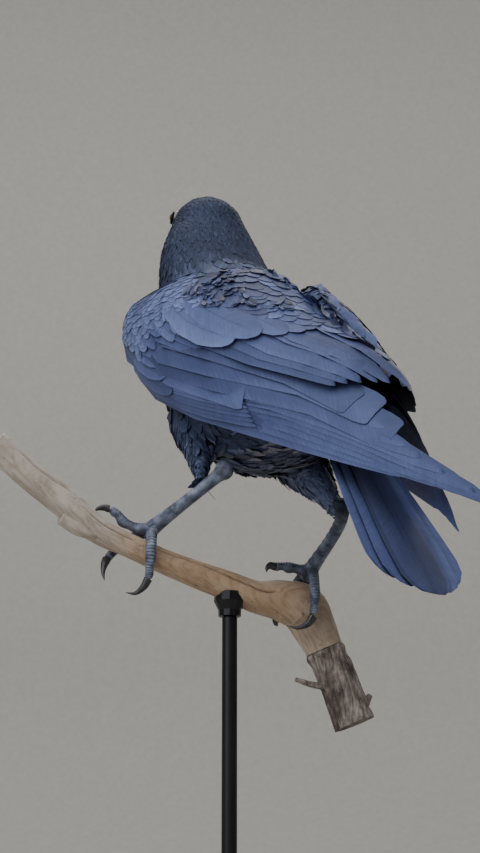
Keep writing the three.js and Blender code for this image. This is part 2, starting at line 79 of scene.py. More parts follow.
class Finish:
    """A material under construction: one Principled surface and the nodes that feed it."""

    def __init__(self, name, colour=(0.5, 0.5, 0.5), **sockets):
        self.material = bpy.data.materials.new(name)
        self.material.use_nodes = True
        self.tree = self.material.node_tree
        self.surface = self.tree.nodes["Principled BSDF"]
        self.surface.inputs["Base Color"].default_value = (*colour, 1)
        for socket, value in sockets.items():
            self.surface.inputs[socket.replace("_", " ")].default_value = value

    def node(self, kind, inputs=(), **settings):
        made = self.tree.nodes.new("ShaderNode" + kind)
        for key, value in settings.items():
            setattr(made, key, value)
        for key, value in dict(inputs).items():
            self.feed(value, made.inputs[key])
        return made

    def feed(self, value, socket):
        if isinstance(value, bpy.types.NodeSocket):
            self.tree.links.new(value, socket)
        else:
            socket.default_value = value

    def math(self, operation, *values):
        return self.node("Math", dict(enumerate(values)), operation=operation).outputs[0]

    def noise(self, place, scale, detail=4, rough=0.55, stretch=(1, 1, 1)):
        spread = self.node("Mapping", {"Vector": place, "Scale": stretch})
        made = self.node("TexNoise", {"Vector": spread.outputs[0], "Scale": scale, "Detail": detail})
        made.inputs["Roughness"].default_value = rough
        return made.outputs["Fac"]

    def ramp(self, factor, *stops):
        """Colour stops (place, red, green, blue) along a factor."""
        made = self.node("ValToRGB", {"Fac": factor})
        elements = made.color_ramp.elements
        while len(elements) < len(stops):
            elements.new(0.5)
        for element, (place, *colour) in zip(elements, stops):
            element.position = place
            element.color = (*colour, 1)
        return made.outputs[0]

    def blend(self, factor, one, other, how="MIX"):
        made = self.node("Mix", data_type="RGBA", blend_type=how)
        for key, value in ((0, factor), (6, one), (7, other)):
            value = (*value, 1) if isinstance(value, tuple) and len(value) == 3 else value
            self.feed(value, made.inputs[key])
        return made.outputs[2]

    def place(self, which="Object"):
        return self.node("TexCoord").outputs[which]

    def marks(self, name):
        """The red, green and blue of the marks that a mesh carries under a name."""
        carried = self.node("Attribute", attribute_name=name)
        return self.node("SeparateColor", {"Color": carried.outputs["Color"]}).outputs

    def edges(self):
        """Above a half on a mesh's sharp edges, below it in its hollows."""
        return self.node("NewGeometry").outputs["Pointiness"]

    def wear(self, socket, value):
        self.feed(value, self.surface.inputs[socket])

    def bump(self, height, distance, strength=1.0, under=None):
        inputs = {"Height": height, "Distance": distance, "Strength": strength}
        if under is not None:
            inputs["Normal"] = under
        made = self.node("Bump", inputs)
        self.tree.links.new(made.outputs[0], self.surface.inputs["Normal"])
        return made.outputs[0]


def round_turn(sides):
    return np.linspace(0, 2 * np.pi, sides, endpoint=False)


def tube_faces(rings, sides, capped=True):
    """The faces between rings of points that follow one another, with one more over each end."""
    faces = [
        (i * sides + k, i * sides + (k + 1) % sides, (i + 1) * sides + (k + 1) % sides, (i + 1) * sides + k)
        for i in range(rings - 1)
        for k in range(sides)
    ]
    if capped:
        faces += [tuple(range(sides - 1, -1, -1)), tuple(range((rings - 1) * sides, rings * sides))]
    return faces


def spun(profile, sides, middle=(0, 0)):
    """Points and faces of a profile of (radius, height) turned about an upright axis."""
    turn = round_turn(sides)
    rows = [
        np.stack([middle[0] + r * np.cos(turn), middle[1] + r * np.sin(turn), np.full(sides, z)], 1)
        for r, z in profile
    ]
    return np.concatenate(rows), tube_faces(len(profile), sides, capped=False)


matt = Finish("studio_matt", FLOOR_COLOUR, Roughness=0.9)
grit = matt.noise(matt.place(), 60, 6)
matt.wear("Base Color", matt.ramp(grit, (0.3, 0.44, 0.425, 0.39), (0.7, 0.48, 0.465, 0.43)))
bend = [
    (FLOOR_RADIUS + WALL_CURVE * math.sin(a), WALL_CURVE * (1 - math.cos(a)))
    for a in np.linspace(0, math.pi / 2, 12)
]
sheet = [(0.001, 0), (1.2, 0), (2.0, 0)] + bend + [(FLOOR_RADIUS + WALL_CURVE, WALL_HEIGHT)]
studio = new_piece("studio_floor", *spun(sheet, FLOOR_SIDES), matt.material)

# ---- Light: a wide overcast sky from above and behind the camera, with soft fills ----
# [where it stands, what it faces, width, watts, tint]
LIGHTS = {
    "sky_panel": ((0.8, 0.9, 2.2), (0.0, 0.0, 0.42), 2.6, 60, (0.96, 0.97, 1.0)),
    "side_panel": ((1.7, 0.6, 0.9), (0.0, 0.05, 0.42), 1.3, 15, (0.92, 0.95, 1.0)),
    "far_panel": ((-1.4, -1.2, 1.9), (0.0, 0.0, 0.45), 1.6, 9, (1.0, 0.98, 0.95)),
    "backdrop_panel": ((-0.2, -0.9, 2.6), (-1.3, -2.6, 0.7), 1.6, 26, (1.0, 0.98, 0.95)),
}
for name, (at, towards, width, watts, tint) in LIGHTS.items():
    lamp = bpy.data.objects.new(name, bpy.data.lights.new(name, "AREA"))
    lamp.data.size = width
    lamp.data.energy = watts
    lamp.data.color = tint
    lamp.location = at
    lamp.rotation_euler = (Vector(towards) - Vector(at)).to_track_quat("-Z", "Y").to_euler()
    bpy.context.scene.collection.objects.link(lamp)
ROOM_GREY, ROOM_STRENGTH = (0.42, 0.44, 0.48, 1), 0.55
world = bpy.data.worlds.new("grey_room")
world.use_nodes = True
world.node_tree.nodes["Background"].inputs[0].default_value = ROOM_GREY
world.node_tree.nodes["Background"].inputs[1].default_value = ROOM_STRENGTH
bpy.context.scene.world = world

# ---- Stand base: a dark-stained hardwood board, sawn to an outline with rounded corners. A small chamfer
# softens its edges, and its open pores show through the stain.
BASE_SIZE, BASE_CORNER, BASE_CHAMFER = (0.240, 0.190, 0.016), 0.022, 0.0015
CAP_INSET = 0.012  # how far inside the outline the flat faces begin
STAIN_DARK, STAIN_LIGHT = (0.014, 0.0085, 0.006), (0.045, 0.026, 0.016)


def rounded_board(size, corner, chamfer, steps=12):
    """Rings of a board: its rounded outline, drawn in at the chamfers and closed by caps."""
    width, depth, thick = size

    def outline(inset):
        ring = []
        for quarter in range(4):
            sx, sy = ((1, -1), (1, 1), (-1, 1), (-1, -1))[quarter]
            centre = (sx * (width / 2 - corner), sy * (depth / 2 - corner))
            for a in np.linspace(0, math.pi / 2, steps + 1) + (quarter - 1) * math.pi / 2:
                reach = corner - inset
                ring.append((centre[0] + reach * math.cos(a), centre[1] + reach * math.sin(a)))
        return np.array(ring)

    levels = [(CAP_INSET, 0), (chamfer, 0), (0.4 * chamfer, 0.25 * chamfer), (0, chamfer)]
    levels += [(inset, thick - height) for inset, height in reversed(levels)]
    rings = [np.column_stack([outline(inset), np.full(4 * (steps + 1), z)]) for inset, z in levels]
    return np.concatenate(rings), tube_faces(len(rings), len(rings[0]))


stained = Finish("stained_oak", STAIN_DARK, Roughness=0.38)
board = stained.place()
rings_in_wood = stained.noise(board, 38, 6, 0.6, (0.12, 1, 1))
pores = stained.noise(board, 900, 3, 0.5, (0.05, 1, 1))
stained.wear("Base Color", stained.ramp(rings_in_wood, (0.35, *STAIN_DARK), (0.68, *STAIN_LIGHT)))
stained.wear("Roughness", stained.ramp(pores, (0.3, 0.5, 0.5, 0.5), (0.7, 0.33, 0.33, 0.33)))
stained.bump(pores, 0.00025, 0.6)
rounded = rounded_board(BASE_SIZE, BASE_CORNER, BASE_CHAMFER)
stand_board = new_piece("base_board", *rounded, stained.material, smooth=False)
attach(stand_board, "root")
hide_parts("stand_base")

# ---- Stand rod, collar and cradle: black satin steel. Rod and collar are turned on a lathe; the cradle is
# the solid model's own, cut to the branch.
ROD_AT, ROD_RADIUS, ROD_SIDES = (0.0, -0.005), 0.006, 48
ROD_FOOT, ROD_TOP, ROD_CHAMFER = 0.0163, 0.2427, 0.0006
COLLAR_BORE = ROD_RADIUS + 0.0003
blacked = Finish("blacked_steel", (0.02, 0.02, 0.022), Metallic=0.75, Roughness=0.42)
dust = blacked.noise(blacked.place(), 420, 5)
blacked.wear("Roughness", blacked.ramp(dust, (0.3, 0.34, 0.34, 0.34), (0.75, 0.5, 0.5, 0.5)))
blacked.bump(dust, 0.00006, 0.5)
rod_profile = [
    (0.0001, ROD_FOOT), (ROD_RADIUS, ROD_FOOT), (ROD_RADIUS, 0.09), (ROD_RADIUS, 0.17),
    (ROD_RADIUS, ROD_TOP - ROD_CHAMFER), (ROD_RADIUS - ROD_CHAMFER, ROD_TOP), (0.0001, ROD_TOP),
]
collar_profile = [
    (COLLAR_BORE, ROD_FOOT), (0.0150, ROD_FOOT), (0.0150, ROD_FOOT + 0.0024),
    (0.0144, ROD_FOOT + 0.003), (0.0118, ROD_FOOT + 0.0043), (0.0102, ROD_FOOT + 0.0064),
    (0.0096, ROD_FOOT + 0.0084), (0.0090, ROD_FOOT + 0.009), (COLLAR_BORE, ROD_FOOT + 0.009),
    (COLLAR_BORE, ROD_FOOT),
]
for name, profile, node in (
    ("rod_steel", rod_profile, "stand_rod"),
    ("collar_steel", collar_profile, "stand_collar"),
):
    steel = new_piece(name, *spun(profile, ROD_SIDES, ROD_AT), blacked.material)
    steel.modifiers.new("crisp", "EDGE_SPLIT").split_angle = math.radians(40)
    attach(steel, "root")
    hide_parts(node)
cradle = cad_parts["stand_cradle"]
cradle.data.materials.clear()
cradle.data.materials.append(blacked.material)

# ---- Branch: dead, barkless wood, silvered at its thin end and tan where feet have rubbed it smooth.
# It swells at the elbow where a side shoot was lost, and a drying crack runs along its back.
# [x, y, z, radius] in millimetres along its middle
BRANCH = [
    (189, -44, 369, 12), (162, -38.4, 345.4, 11.4), (134, -32.6, 325.9, 12.2), (105, -26.7, 304.7, 11),
    (83, -22.1, 295.1, 10.3), (57, -16.7, 284.9, 10.3), (31.7, -11.4, 276.9, 10.8), (4, -5.7, 268.2, 12),
    (-22, -0.4, 260, 13.8), (-43, 4.2, 258.5, 18), (-60, 7.5, 253, 20), (-71, 9.8, 237, 17.6),
    (-79, 11.9, 218.7, 15.4), (-89, 17.6, 190.7, 16), (-99, 23.3, 161.4, 17.4),
]
BARK_FROM = 0.85
BRANCH_SIDES = 110
WOOD_SILVER, WOOD_TAN = (0.40, 0.345, 0.29), (0.40, 0.27, 0.165)


def unit(vectors):
    return vectors / np.maximum(np.linalg.norm(vectors, axis=-1, keepdims=True), 1e-12)


def finder_of(points):
    """A finder of the nearest of some points."""
    finder = KDTree(len(points))
    for i, point in enumerate(points):
        finder.insert(Vector(point), i)
    finder.balance()
    return finder


def nearest_of(finder, points):
    return np.array([finder.find(Vector(point))[1] for point in points])


def marked(mesh, name, *channels):
    """Gives a mesh's points marks that its finish reads: up to four values each, one where none is given."""
    values = np.ones((len(mesh.vertices), 4))
    for k, channel in enumerate(channels):
        values[:, k] = np.ravel(channel)
    mesh.attributes.new(name, "FLOAT_COLOR", "POINT").data.foreach_set("color", values.ravel())


def smooth_path(points, shares):
    """Places along a smooth curve through points, at shares of the count of its spans."""
    points = np.asarray(points, float)
    ends = np.vstack([2 * points[0] - points[1], points, 2 * points[-1] - points[-2]])
    shares = np.atleast_1d(np.asarray(shares, float))
    span = np.clip(np.floor(shares * (len(points) - 1)).astype(int), 0, len(points) - 2)
    t = (shares * (len(points) - 1) - span)[:, None]
    p0, p1, p2, p3 = (ends[span + k] for k in range(4))

    def knot(a, b):
        return np.maximum(np.linalg.norm(b - a, axis=1)[:, None] ** 0.5, 1e-9)

    d0, d1, d2 = knot(p0, p1), knot(p1, p2), knot(p2, p3)
    d0, d2 = np.where(d0 < 1e-4, d1, d0), np.where(d2 < 1e-4, d1, d2)
    leave = ((p1 - p0) / d0 - (p2 - p0) / (d0 + d1) + (p2 - p1) / d1) * d1
    reach = ((p2 - p1) / d1 - (p3 - p1) / (d1 + d2) + (p3 - p2) / d2) * d1
    curve = (2 * p1 - 2 * p2 + leave + reach) * t**3
    return curve + (3 * p2 - 3 * p1 - 2 * leave - reach) * t**2 + leave * t + p1


def branch_frame(shares):
    """Middle, radius and axes of the branch: along it to the bird's left, out of its top, to the front."""
    middle = smooth_path([row[:3] for row in BRANCH], shares)
    radius = smooth_path([(row[3], 0, 0) for row in BRANCH], shares)[:, 0]
    step = 1e-3
    ahead = smooth_path([row[:3] for row in BRANCH], np.clip(shares + step, 0, 1))
    behind = smooth_path([row[:3] for row in BRANCH], np.clip(shares - step, 0, 1))
    along = unit(behind - ahead)
    top = unit(np.cross(along, (0, 1, 0)))
    return middle, radius, along, top, np.cross(along, top)


branch_line = branch_frame(np.linspace(0, 1, 400))[0]
branch_finder = finder_of(branch_line)


def ripple(*terms):
    """A sum of sines, each (height, turns round the branch, waves along it, start)."""
    return lambda turn, share: sum(
        h * np.sin(n * turn + 2 * np.pi * m * share + start) for h, n, m, start in terms
    )


# The same slow swellings as the solid branch, then grain ridges that a hand would just feel.
slow_form = ripple((0.035, 2, 19 / 6.283, 0), (0.025, 3, -31 / 6.283, 0))
ridges = ripple((0.010, 9, 2.2, 0.4), (0.008, 14, -3.1, 2.0), (0.006, 23, 5.3, 1.1), (0.004, 37, 9.0, 0.2))


def crack_depth(turn, share, start, end, at, wander, phase, wide, deep):
    """A drying crack between two shares, at an angle that wanders, closing at both its ends."""
    line = at + wander * np.sin(17 * share + phase) + 0.12 * wander * np.sin(61 * share)
    off = np.abs((turn - line + np.pi) % (2 * np.pi) - np.pi)
    within = np.clip((share - start) / 0.02, 0, 1) * np.clip((end - share) / 0.02, 0, 1)
    return deep * within * np.exp(-((off / wide) ** 2))


def dimple(turn, share, at, wide, angle, spread, deep):
    """A round hollow in the wood."""
    return deep * np.exp(-(((share - at) / wide) ** 2 + ((turn - angle) / spread) ** 2))


# [share along the branch, its spread, angle ahead of the top, its spread, depth in mm]
LOST_TWIG, BARK_HOLE = (0.735, 0.012, 5.0, 0.28, 1.2), (0.868, 0.007, 3.9, 0.2, 2.5)
BARE_SUNK, BARK_SUNK = 0.6, 0.3  # mm inside the solid branch
# [from share, to share, angle ahead of the top, wander, its phase, half-width in radians, depth in mm]
CRACKS = [
    (0.315, 0.62, -1.14, 0.2, 0.97, 0.085, 3.2), (0.03, 0.16, -0.9, 0.12, 3.6, 0.08, 1.8),
    (0.0, 0.11, -0.4, 0.08, 5.1, 0.06, 1.3), (0.10, 0.27, 0.7, 0.2, 2.1, 0.05, 0.9),
    (0.45, 0.72, 1.9, 0.15, 5.7, 0.045, 1.1), (0.17, 0.30, -1.3, 0.1, 1.2, 0.07, 1.6),
]


def branch_length(start, end, rings, sides, rough):
    """Points and faces of a stretch of branch, rough(turn, share, radius) added to its radius in mm."""
    shares = np.linspace(start, end, rings)
    middle, radius, _, top, front = branch_frame(shares)
    turn, share = np.meshgrid(round_turn(sides), shares)
    reach = radius[:, None] * (1 + slow_form(turn, share)) + rough(turn, share, radius[:, None])
    out = np.cos(turn)[..., None] * top[:, None] + np.sin(turn)[..., None] * front[:, None]
    points = ((middle[:, None] + reach[..., None] * out) * MM).reshape(-1, 3)
    return points, tube_faces(rings, sides, capped=False)


def closed_ends(points, faces, sides, sunk, grow_rings=5):
    """Caps both open ends of a tube with shrinking rings, sunk(reach, turn) mm into the wood."""
    points, faces = list(points), list(faces)
    for first in (0, len(points) - sides):
        ring = np.array(points[first:first + sides])
        inward = np.array(points[sides:2 * sides] if first == 0 else points[first - sides:first]) - ring
        inward = inward.mean(0) / np.linalg.norm(inward.mean(0))
        heart, last = ring.mean(0), first
        for step in range(1, grow_rings + 1):
            reach = 1 - step / (grow_rings + 0.4)
            depth = sunk(reach, round_turn(sides))[:, None] * MM
            start = len(points)
            points.extend(heart + (ring - heart) * reach + inward * depth)
            for k in range(sides):
                quad = (last + k, last + (k + 1) % sides, start + (k + 1) % sides, start + k)
                faces.append(quad if first else quad[::-1])
            last = start
        cap = tuple(range(last, last + sides))
        faces.append(cap if first else cap[::-1])
    return np.array(points), faces


def triangles_of(points, faces):
    """The three corners of every triangle that a mesh's faces split into."""
    corners = np.array([(f[0], f[i], f[i + 1]) for f in faces for i in range(1, len(f) - 1)])
    return (points[corners[:, k]] for k in range(3))


def turned_out(points, faces):
    """A closed form with its faces turned outwards."""
    a, b, c = triangles_of(points, faces)
    if np.einsum("ij,ij->i", a, np.cross(b, c)).sum() < 0:
        faces = [tuple(reversed(face)) for face in faces]
    return points, faces


def bare_surface(turn, share, radius):
    """Grain ridges that fade towards the elbow, the cracks, and a hollow where a twig was lost."""
    raised = radius * ridges(turn, share) * np.clip(1.6 - 2.2 * share, 0.35, 1)
    raised = raised - sum(crack_depth(turn, share, *crack) for crack in CRACKS)
    return raised - BARE_SUNK - dimple(turn, share, *LOST_TWIG)


def end_grain(reach, turns):
    """How deep the rings of a cut end lie, in mm."""
    return 0.4 + 0.5 * np.sin(5 * turns + 6 * reach) * reach + 0.35 * np.cos(40 * reach)


def torn_end(reach, turns):
    """How deep the fibres of a broken end lie, in mm."""
    return 0.5 + 0.7 * np.sin(4 * turns + 3 * reach) * (1 - reach) + 0.8 * (1 - reach)


def around_path(path, shares, sides, across, squeeze=1.0):
    """Middles along a path, and the ways out of it all round, starting square to a direction."""
    middle = smooth_path(path, shares)
    along = unit(np.gradient(middle, axis=0))
    side = unit(np.cross(along, across))
    turn = round_turn(sides)[None, :, None]
    out = np.cos(turn) * side[:, None] + squeeze * np.sin(turn) * np.cross(side, along)[:, None]
    return middle[:, None], out


def stub_of(path, radii, rings, sides, rough):
    """Points and faces of a broken shoot along a path, closed at both ends."""
    shares, turn = np.linspace(0, 1, rings)[:, None], round_turn(sides)[None]
    middle, out = around_path(path, shares[:, 0], sides, (0.2, 0.9, 0.3))
    wave = 1 + rough * (np.sin(3 * turn) * np.sin(7 * shares) + 0.6 * np.sin(8 * turn))
    reach = np.interp(shares, [0, 1], radii) * wave
    points = ((middle + reach[..., None] * out) * MM).reshape(-1, 3)
    return closed_ends(points, tube_faces(rings, sides, capped=False), sides, torn_end)


def together(*meshes):
    """Several (points, faces) as one."""
    points, faces, count = [], [], 0
    for more, their in meshes:
        points.append(more)
        faces += [tuple(i + count for i in face) for face in their]
        count += len(more)
    return np.concatenate(points), faces


SWELLING = [(108, -27, 304), (122, -29.5, 306.5), (137, -31.5, 313)], (8.3, 5.5)  # its path and radii in mm
bare_tube = branch_length(0, BARK_FROM, 420, BRANCH_SIDES, bare_surface)
bare_mesh = closed_ends(*bare_tube, BRANCH_SIDES, end_grain)
wood = Finish("bare_wood", WOOD_TAN, Roughness=0.62)
share_along = wood.marks("grain")[0]
fibres = wood.noise(wood.place(), 620, 5, 0.62, (0.10, 0.8, 0.16))
blotches = wood.noise(wood.place(), 70, 4, 0.5, (0.5, 1, 0.6))
specks = wood.noise(wood.place(), 210, 3, 0.5)
tan = wood.ramp(blotches, (0.34, 0.34, 0.235, 0.15), (0.5, *WOOD_TAN), (0.68, 0.45, 0.335, 0.225))
silver = wood.ramp(blotches, (0.34, 0.34, 0.285, 0.235), (0.5, *WOOD_SILVER), (0.7, 0.46, 0.41, 0.355))
ripe = wood.ramp(share_along, (0.20, 0, 0, 0), (0.34, 1, 1, 1), (0.62, 1, 1, 1), (0.80, 0.4, 0.4, 0.4))
body_tone = wood.blend(ripe, silver, tan)
streaks = wood.ramp(fibres, (0.36, 0.42, 0.36, 0.31), (0.56, 1, 1, 1))
toned = wood.blend(0.5, body_tone, streaks, "MULTIPLY")
flecks = wood.ramp(specks, (0.66, 1, 1, 1), (0.74, 0.45, 0.36, 0.3))
toned = wood.blend(0.8, toned, flecks, "MULTIPLY")
# Painted shade: the wood is darker in its hollows and cracks, where the mesh curves in.
hollow = wood.ramp(wood.edges(), (0.43, 0.22, 0.17, 0.14), (0.49, 1, 1, 1))
wood.wear("Base Color", wood.blend(0.85, toned, hollow, "MULTIPLY"))
wood.wear("Roughness", wood.ramp(fibres, (0.3, 0.8, 0.8, 0.8), (0.7, 0.52, 0.52, 0.52)))
wood.bump(fibres, 0.0006, 0.55)
branch_points, branch_faces = turned_out(*together(bare_mesh, stub_of(*SWELLING, 26, 40, 0.05)))
branch = new_piece("branch_wood", branch_points, branch_faces, wood.material)
marked(branch.data, "grain", nearest_of(branch_finder, branch_points / MM) / (len(branch_line) - 1))
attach(branch, "root")
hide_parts("perch_branch")

# ---- Branch stub: the old growth below the elbow, still in its grey bark, fissured along its length.
# The bark ends in a broken lip round the bare wood, and two snapped twigs are left on it.
# [path in millimetres, radius where it leaves the bark, radius at its broken end]
SNAPPED = [
    ([(-84, 16, 190), (-66, 15, 191), (-50, 13, 194.5)], (3.4, 1.8)),
    ([(-96, 20, 172), (-112, 17, 177), (-119, 15, 186)], (4.2, 2.4)),
]
BARK_LIP, BARK_START = 0.8, BARK_FROM + 0.0015
fissures = ripple((0.030, 7, 3.3, 0.3), (0.024, 11, -4.1, 1.7), (0.016, 17, 8.0, 0.6), (0.012, 29, 14, 2.2))


def bark_surface(turn, share, radius):
    """Plates between fissures, a raised and torn lip where the bark begins, and a hole in it."""
    plates = radius * fissures(turn, share) * (1 - np.exp(-(((share - BARK_FROM) / 0.004) ** 2)))
    cuts = 0.9 * np.clip(np.sin(9 * turn + 60 * share + 2 * np.sin(4 * turn)) - 0.72, 0, 1) / 0.28
    lip = BARK_LIP * np.exp(-(((share - BARK_FROM - 0.012) / 0.008) ** 2))
    torn = lip * (1 + 0.8 * np.sin(5 * turn + 1))
    return plates - cuts + torn - dimple(turn, share, *BARK_HOLE) - BARK_SUNK


bark = Finish("grey_bark", (0.2, 0.17, 0.14), Roughness=0.9)
strands = bark.noise(bark.place(), 520, 6, 0.65, (1, 1, 0.16))
patches = bark.noise(bark.place(), 70, 5, 0.6)
warm = bark.ramp(patches, (0.36, 0.085, 0.065, 0.055), (0.5, 0.21, 0.175, 0.15), (0.66, 0.36, 0.325, 0.30))
grey = bark.blend(0.8, warm, bark.ramp(strands, (0.38, 0.35, 0.32, 0.3), (0.62, 1.25, 1.2, 1.18)), "MULTIPLY")
# Painted shade: the bark is darker in its pits and fissures, where the mesh curves in.
pits = bark.ramp(bark.edges(), (0.42, 0.2, 0.17, 0.15), (0.5, 1, 1, 1))
bark.wear("Base Color", bark.blend(0.9, grey, pits, "MULTIPLY"))
bark.bump(strands, 0.0012, 0.8)
stub_tube = branch_length(BARK_START, 1, 120, BRANCH_SIDES, bark_surface)
stub_mesh = closed_ends(*stub_tube, BRANCH_SIDES, end_grain)
twigs = [stub_of(path, radii, 22, 20, 0.07) for path, radii in SNAPPED]
stub = new_piece("branch_bark", *turned_out(*together(stub_mesh, *twigs)), bark.material)
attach(stub, "root")
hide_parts("perch_stub")

# ---- Skin: what lies under the feathers and shows on the legs. The trunk, neck, head, thighs and the
# fleshy front of the wings are one surface, drawn in from the outline by the depth of the feathers.
# The bare legs are its horny part: plates down the front, pads below, fine scales at the sides.
BODY_AT = np.array([-20, 14, 457]) * MM
BODY_TURN = np.array(
    Matrix.Rotation(-math.pi / 2, 3, "Z")
    @ Matrix.Rotation(math.radians(-38), 3, "Y")
    @ Matrix.Rotation(math.radians(3), 3, "X")
)
HEAD_AT, HEAD_TURN, HEAD_LIFT = (88, 6, 150), 15, 12
SKIN_VOXEL, SKIN_SMOOTHING = 0.0022, 12
# [along the spine from the bill's base, mm; how far the skin lies inside the outline, mm]
COAT_DEPTH = [(0, 0.9), (35, 1.1), (80, 1.8), (130, 2.6), (200, 3.4), (320, 3.2), (360, 2.5)]


def from_body(points):
    """World places of points given in millimetres in the trunk's frame (to the breast, left, back)."""
    return BODY_AT + np.asarray(points, float) @ BODY_TURN.T * MM


def to_body(points):
    return (np.asarray(points, float) - BODY_AT) @ BODY_TURN / MM


def level_way(ways):
    """The world's axes for directions given ahead, left and up."""
    ways = np.asarray(ways, float)
    return np.stack([ways[..., 1], -ways[..., 0], ways[..., 2]], -1)


def from_level(points):
    """World places of points in millimetres ahead, left and above the trunk's middle."""
    return BODY_AT + level_way(points) * MM


def to_level(points):
    world = (np.asarray(points, float) - BODY_AT) / MM
    return np.stack([-world[..., 1], world[..., 0], world[..., 2]], -1)


HEAD_AXES = np.array(
    Matrix.Rotation(math.radians(-HEAD_TURN), 3, "Z") @ Matrix.Rotation(math.radians(-HEAD_LIFT), 3, "Y")
)


def from_head(points):
    """World places of points in millimetres along the bill, to the left and up from the skull's middle."""
    return from_level(np.asarray(points, float) @ HEAD_AXES.T + HEAD_AT)


def to_head(points):
    return (to_level(points) - HEAD_AT) @ HEAD_AXES


def run_along(lines):
    """How far along its line each point of one or more lines lies."""
    steps = np.linalg.norm(np.diff(lines, axis=-2), axis=-1)
    return np.concatenate([np.zeros_like(steps[..., :1]), np.cumsum(steps, axis=-1)], axis=-1)


# The spine runs from the bill's base over the head, down the neck and along the trunk to the tail.
SPINE = np.concatenate(
    [
        from_head([(42, 0, -4), (15, 0, -2), (-8, 0, -6)]),
        from_level([(72, 4.5, 112), (62, 3, 74), (42, 1.5, 36)]),
        from_body([(20, 0, -6), (-40, 0, -14), (-95, 0, 4), (-150, -1, -4)]),
    ]
)
spine_points = smooth_path(SPINE / MM, np.linspace(0, 1, 240)) * MM
spine_run = run_along(spine_points) / MM
spine_heading = unit(np.gradient(spine_points, axis=0))
spine_finder = finder_of(spine_points)


def on_spine(points):
    """How far down the spine each point lies, in mm, and the spine's heading there."""
    nearest = nearest_of(spine_finder, points)
    return spine_run[nearest], spine_heading[nearest]


def points_of(mesh, which="co"):
    values = np.empty(len(mesh.vertices) * 3)
    mesh.vertices.foreach_get(which, values)
    return values.reshape(-1, 3)


def faces_of(mesh):
    return [tuple(face.vertices) for face in mesh.polygons]


def square_to(axis, vectors):
    """The vectors turned square to an axis, as unit vectors."""
    return unit(vectors - (vectors * axis).sum(-1, keepdims=True) * axis)


def trimmed(mesh, at, away):
    """A copy of a mesh with all beyond a plane cut off and the cut closed."""
    form = bmesh.new()
    form.from_mesh(mesh)
    everything = form.verts[:] + form.edges[:] + form.faces[:]
    made = bmesh.ops.bisect_plane(form, geom=everything, plane_co=at, plane_no=away, clear_outer=True)
    edges = [g for g in made["geom_cut"] if isinstance(g, bmesh.types.BMEdge)]
    bmesh.ops.holes_fill(form, edges=edges, sides=0)
    points = np.array([v.co for v in form.verts])
    faces = [tuple(v.index for v in f.verts) for f in form.faces]
    form.free()
    return points, faces


def fused(name, meshes, voxel, smoothing, material):
    """Overlapping meshes remeshed as one skin, then smoothed."""
    made = new_piece(name, *together(*meshes), material)
    remesh = made.modifiers.new("one_skin", "REMESH")
    remesh.mode, remesh.voxel_size = "VOXEL", voxel
    smooth = made.modifiers.new("soft", "SMOOTH")
    smooth.factor, smooth.iterations = 0.5, smoothing
    evaluated = made.evaluated_get(bpy.context.evaluated_depsgraph_get())
    done = bpy.data.meshes.new_from_object(evaluated)
    made.modifiers.clear()
    made.data = done
    done.polygons.foreach_set("use_smooth", [True] * len(done.polygons))
    done.materials.clear()
    done.materials.append(material)
    return made


def cad_mesh(node):
    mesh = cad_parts[node].data
    return points_of(mesh), faces_of(mesh)


def smooth_rows(rows, places):
    """Values at places between rows of (place, value, ...), eased from row to row."""
    rows = np.asarray(rows, float)
    places = np.atleast_1d(np.asarray(places, float))
    keys, values = rows[:, 0], rows[:, 1:]
    after = np.minimum(np.arange(len(rows)) + 1, len(rows) - 1)
    before = np.maximum(np.arange(len(rows)) - 1, 0)
    slopes = (values[after] - values[before]) / (keys[after] - keys[before])[:, None]
    i = np.clip(np.searchsorted(keys, places) - 1, 0, len(rows) - 2)
    span = (keys[i + 1] - keys[i])[:, None]
    t = np.clip((places - keys[i])[:, None] / span, 0, 1)
    rise = span * (slopes[i] * (t - 2 * t**2 + t**3) + slopes[i + 1] * (t**3 - t**2))
    return values[i] + (values[i + 1] - values[i]) * (3 * t**2 - 2 * t**3) + rise


# The folded wing's two layers: [along the trunk; top edge left, up; bottom edge left, up; bulge; thickness]
UPPER_FOLD = [
    (-180, -15, 54, -8, 51, 1, 2), (-165, -9, 61, 10, 44, 6, 4), (-140, -2, 65, 31, 24, 14, 6),
    (-100, 5, 66, 54, -8, 23, 9), (-50, 10, 68, 74, -32, 31, 14), (0, 17, 69, 81, -46, 33, 20),
    (50, 35, 51, 82, -50, 20, 24), (78, 53, 25, 80, -44, 10, 21), (96, 62, 4, 76, -34, 7, 16),
    (105, 65, -5, 71, -22, 3, 9),
]
LOWER_FOLD = [
    (-317, -25, 23, -22, 20, 0.5, 2), (-290, -15, 28, -9, 14, 1, 3), (-250, -2, 32, 12, 5, 2, 4),
    (-200, 13, 37, 34, -7, 3, 5), (-150, 28, 38, 53, -19, 6, 6), (-100, 50, 26, 69, -30, 8, 8),
    (-50, 66, 8, 78, -43, 9, 10), (0, 76, -6, 81, -52, 8, 12), (40, 78, -12, 79, -53, 6, 12),
    (66, 75, -18, 76, -46, 4, 8),
]
RIGHT_UNDER = (-60, 26, 22, 1)  # from here back the right wing slips under: across, down, and its seat
WING_END = -317  # mm along the trunk, where the longest quill ends
CORE_INSET = 4.2  # mm inside the wing's surface
CORE_RINGS, CORE_LINES = 40, 12
CORE_ENDS = (UPPER_FOLD, -108), (LOWER_FOLD, -78)  # how far back the flesh of each layer reaches


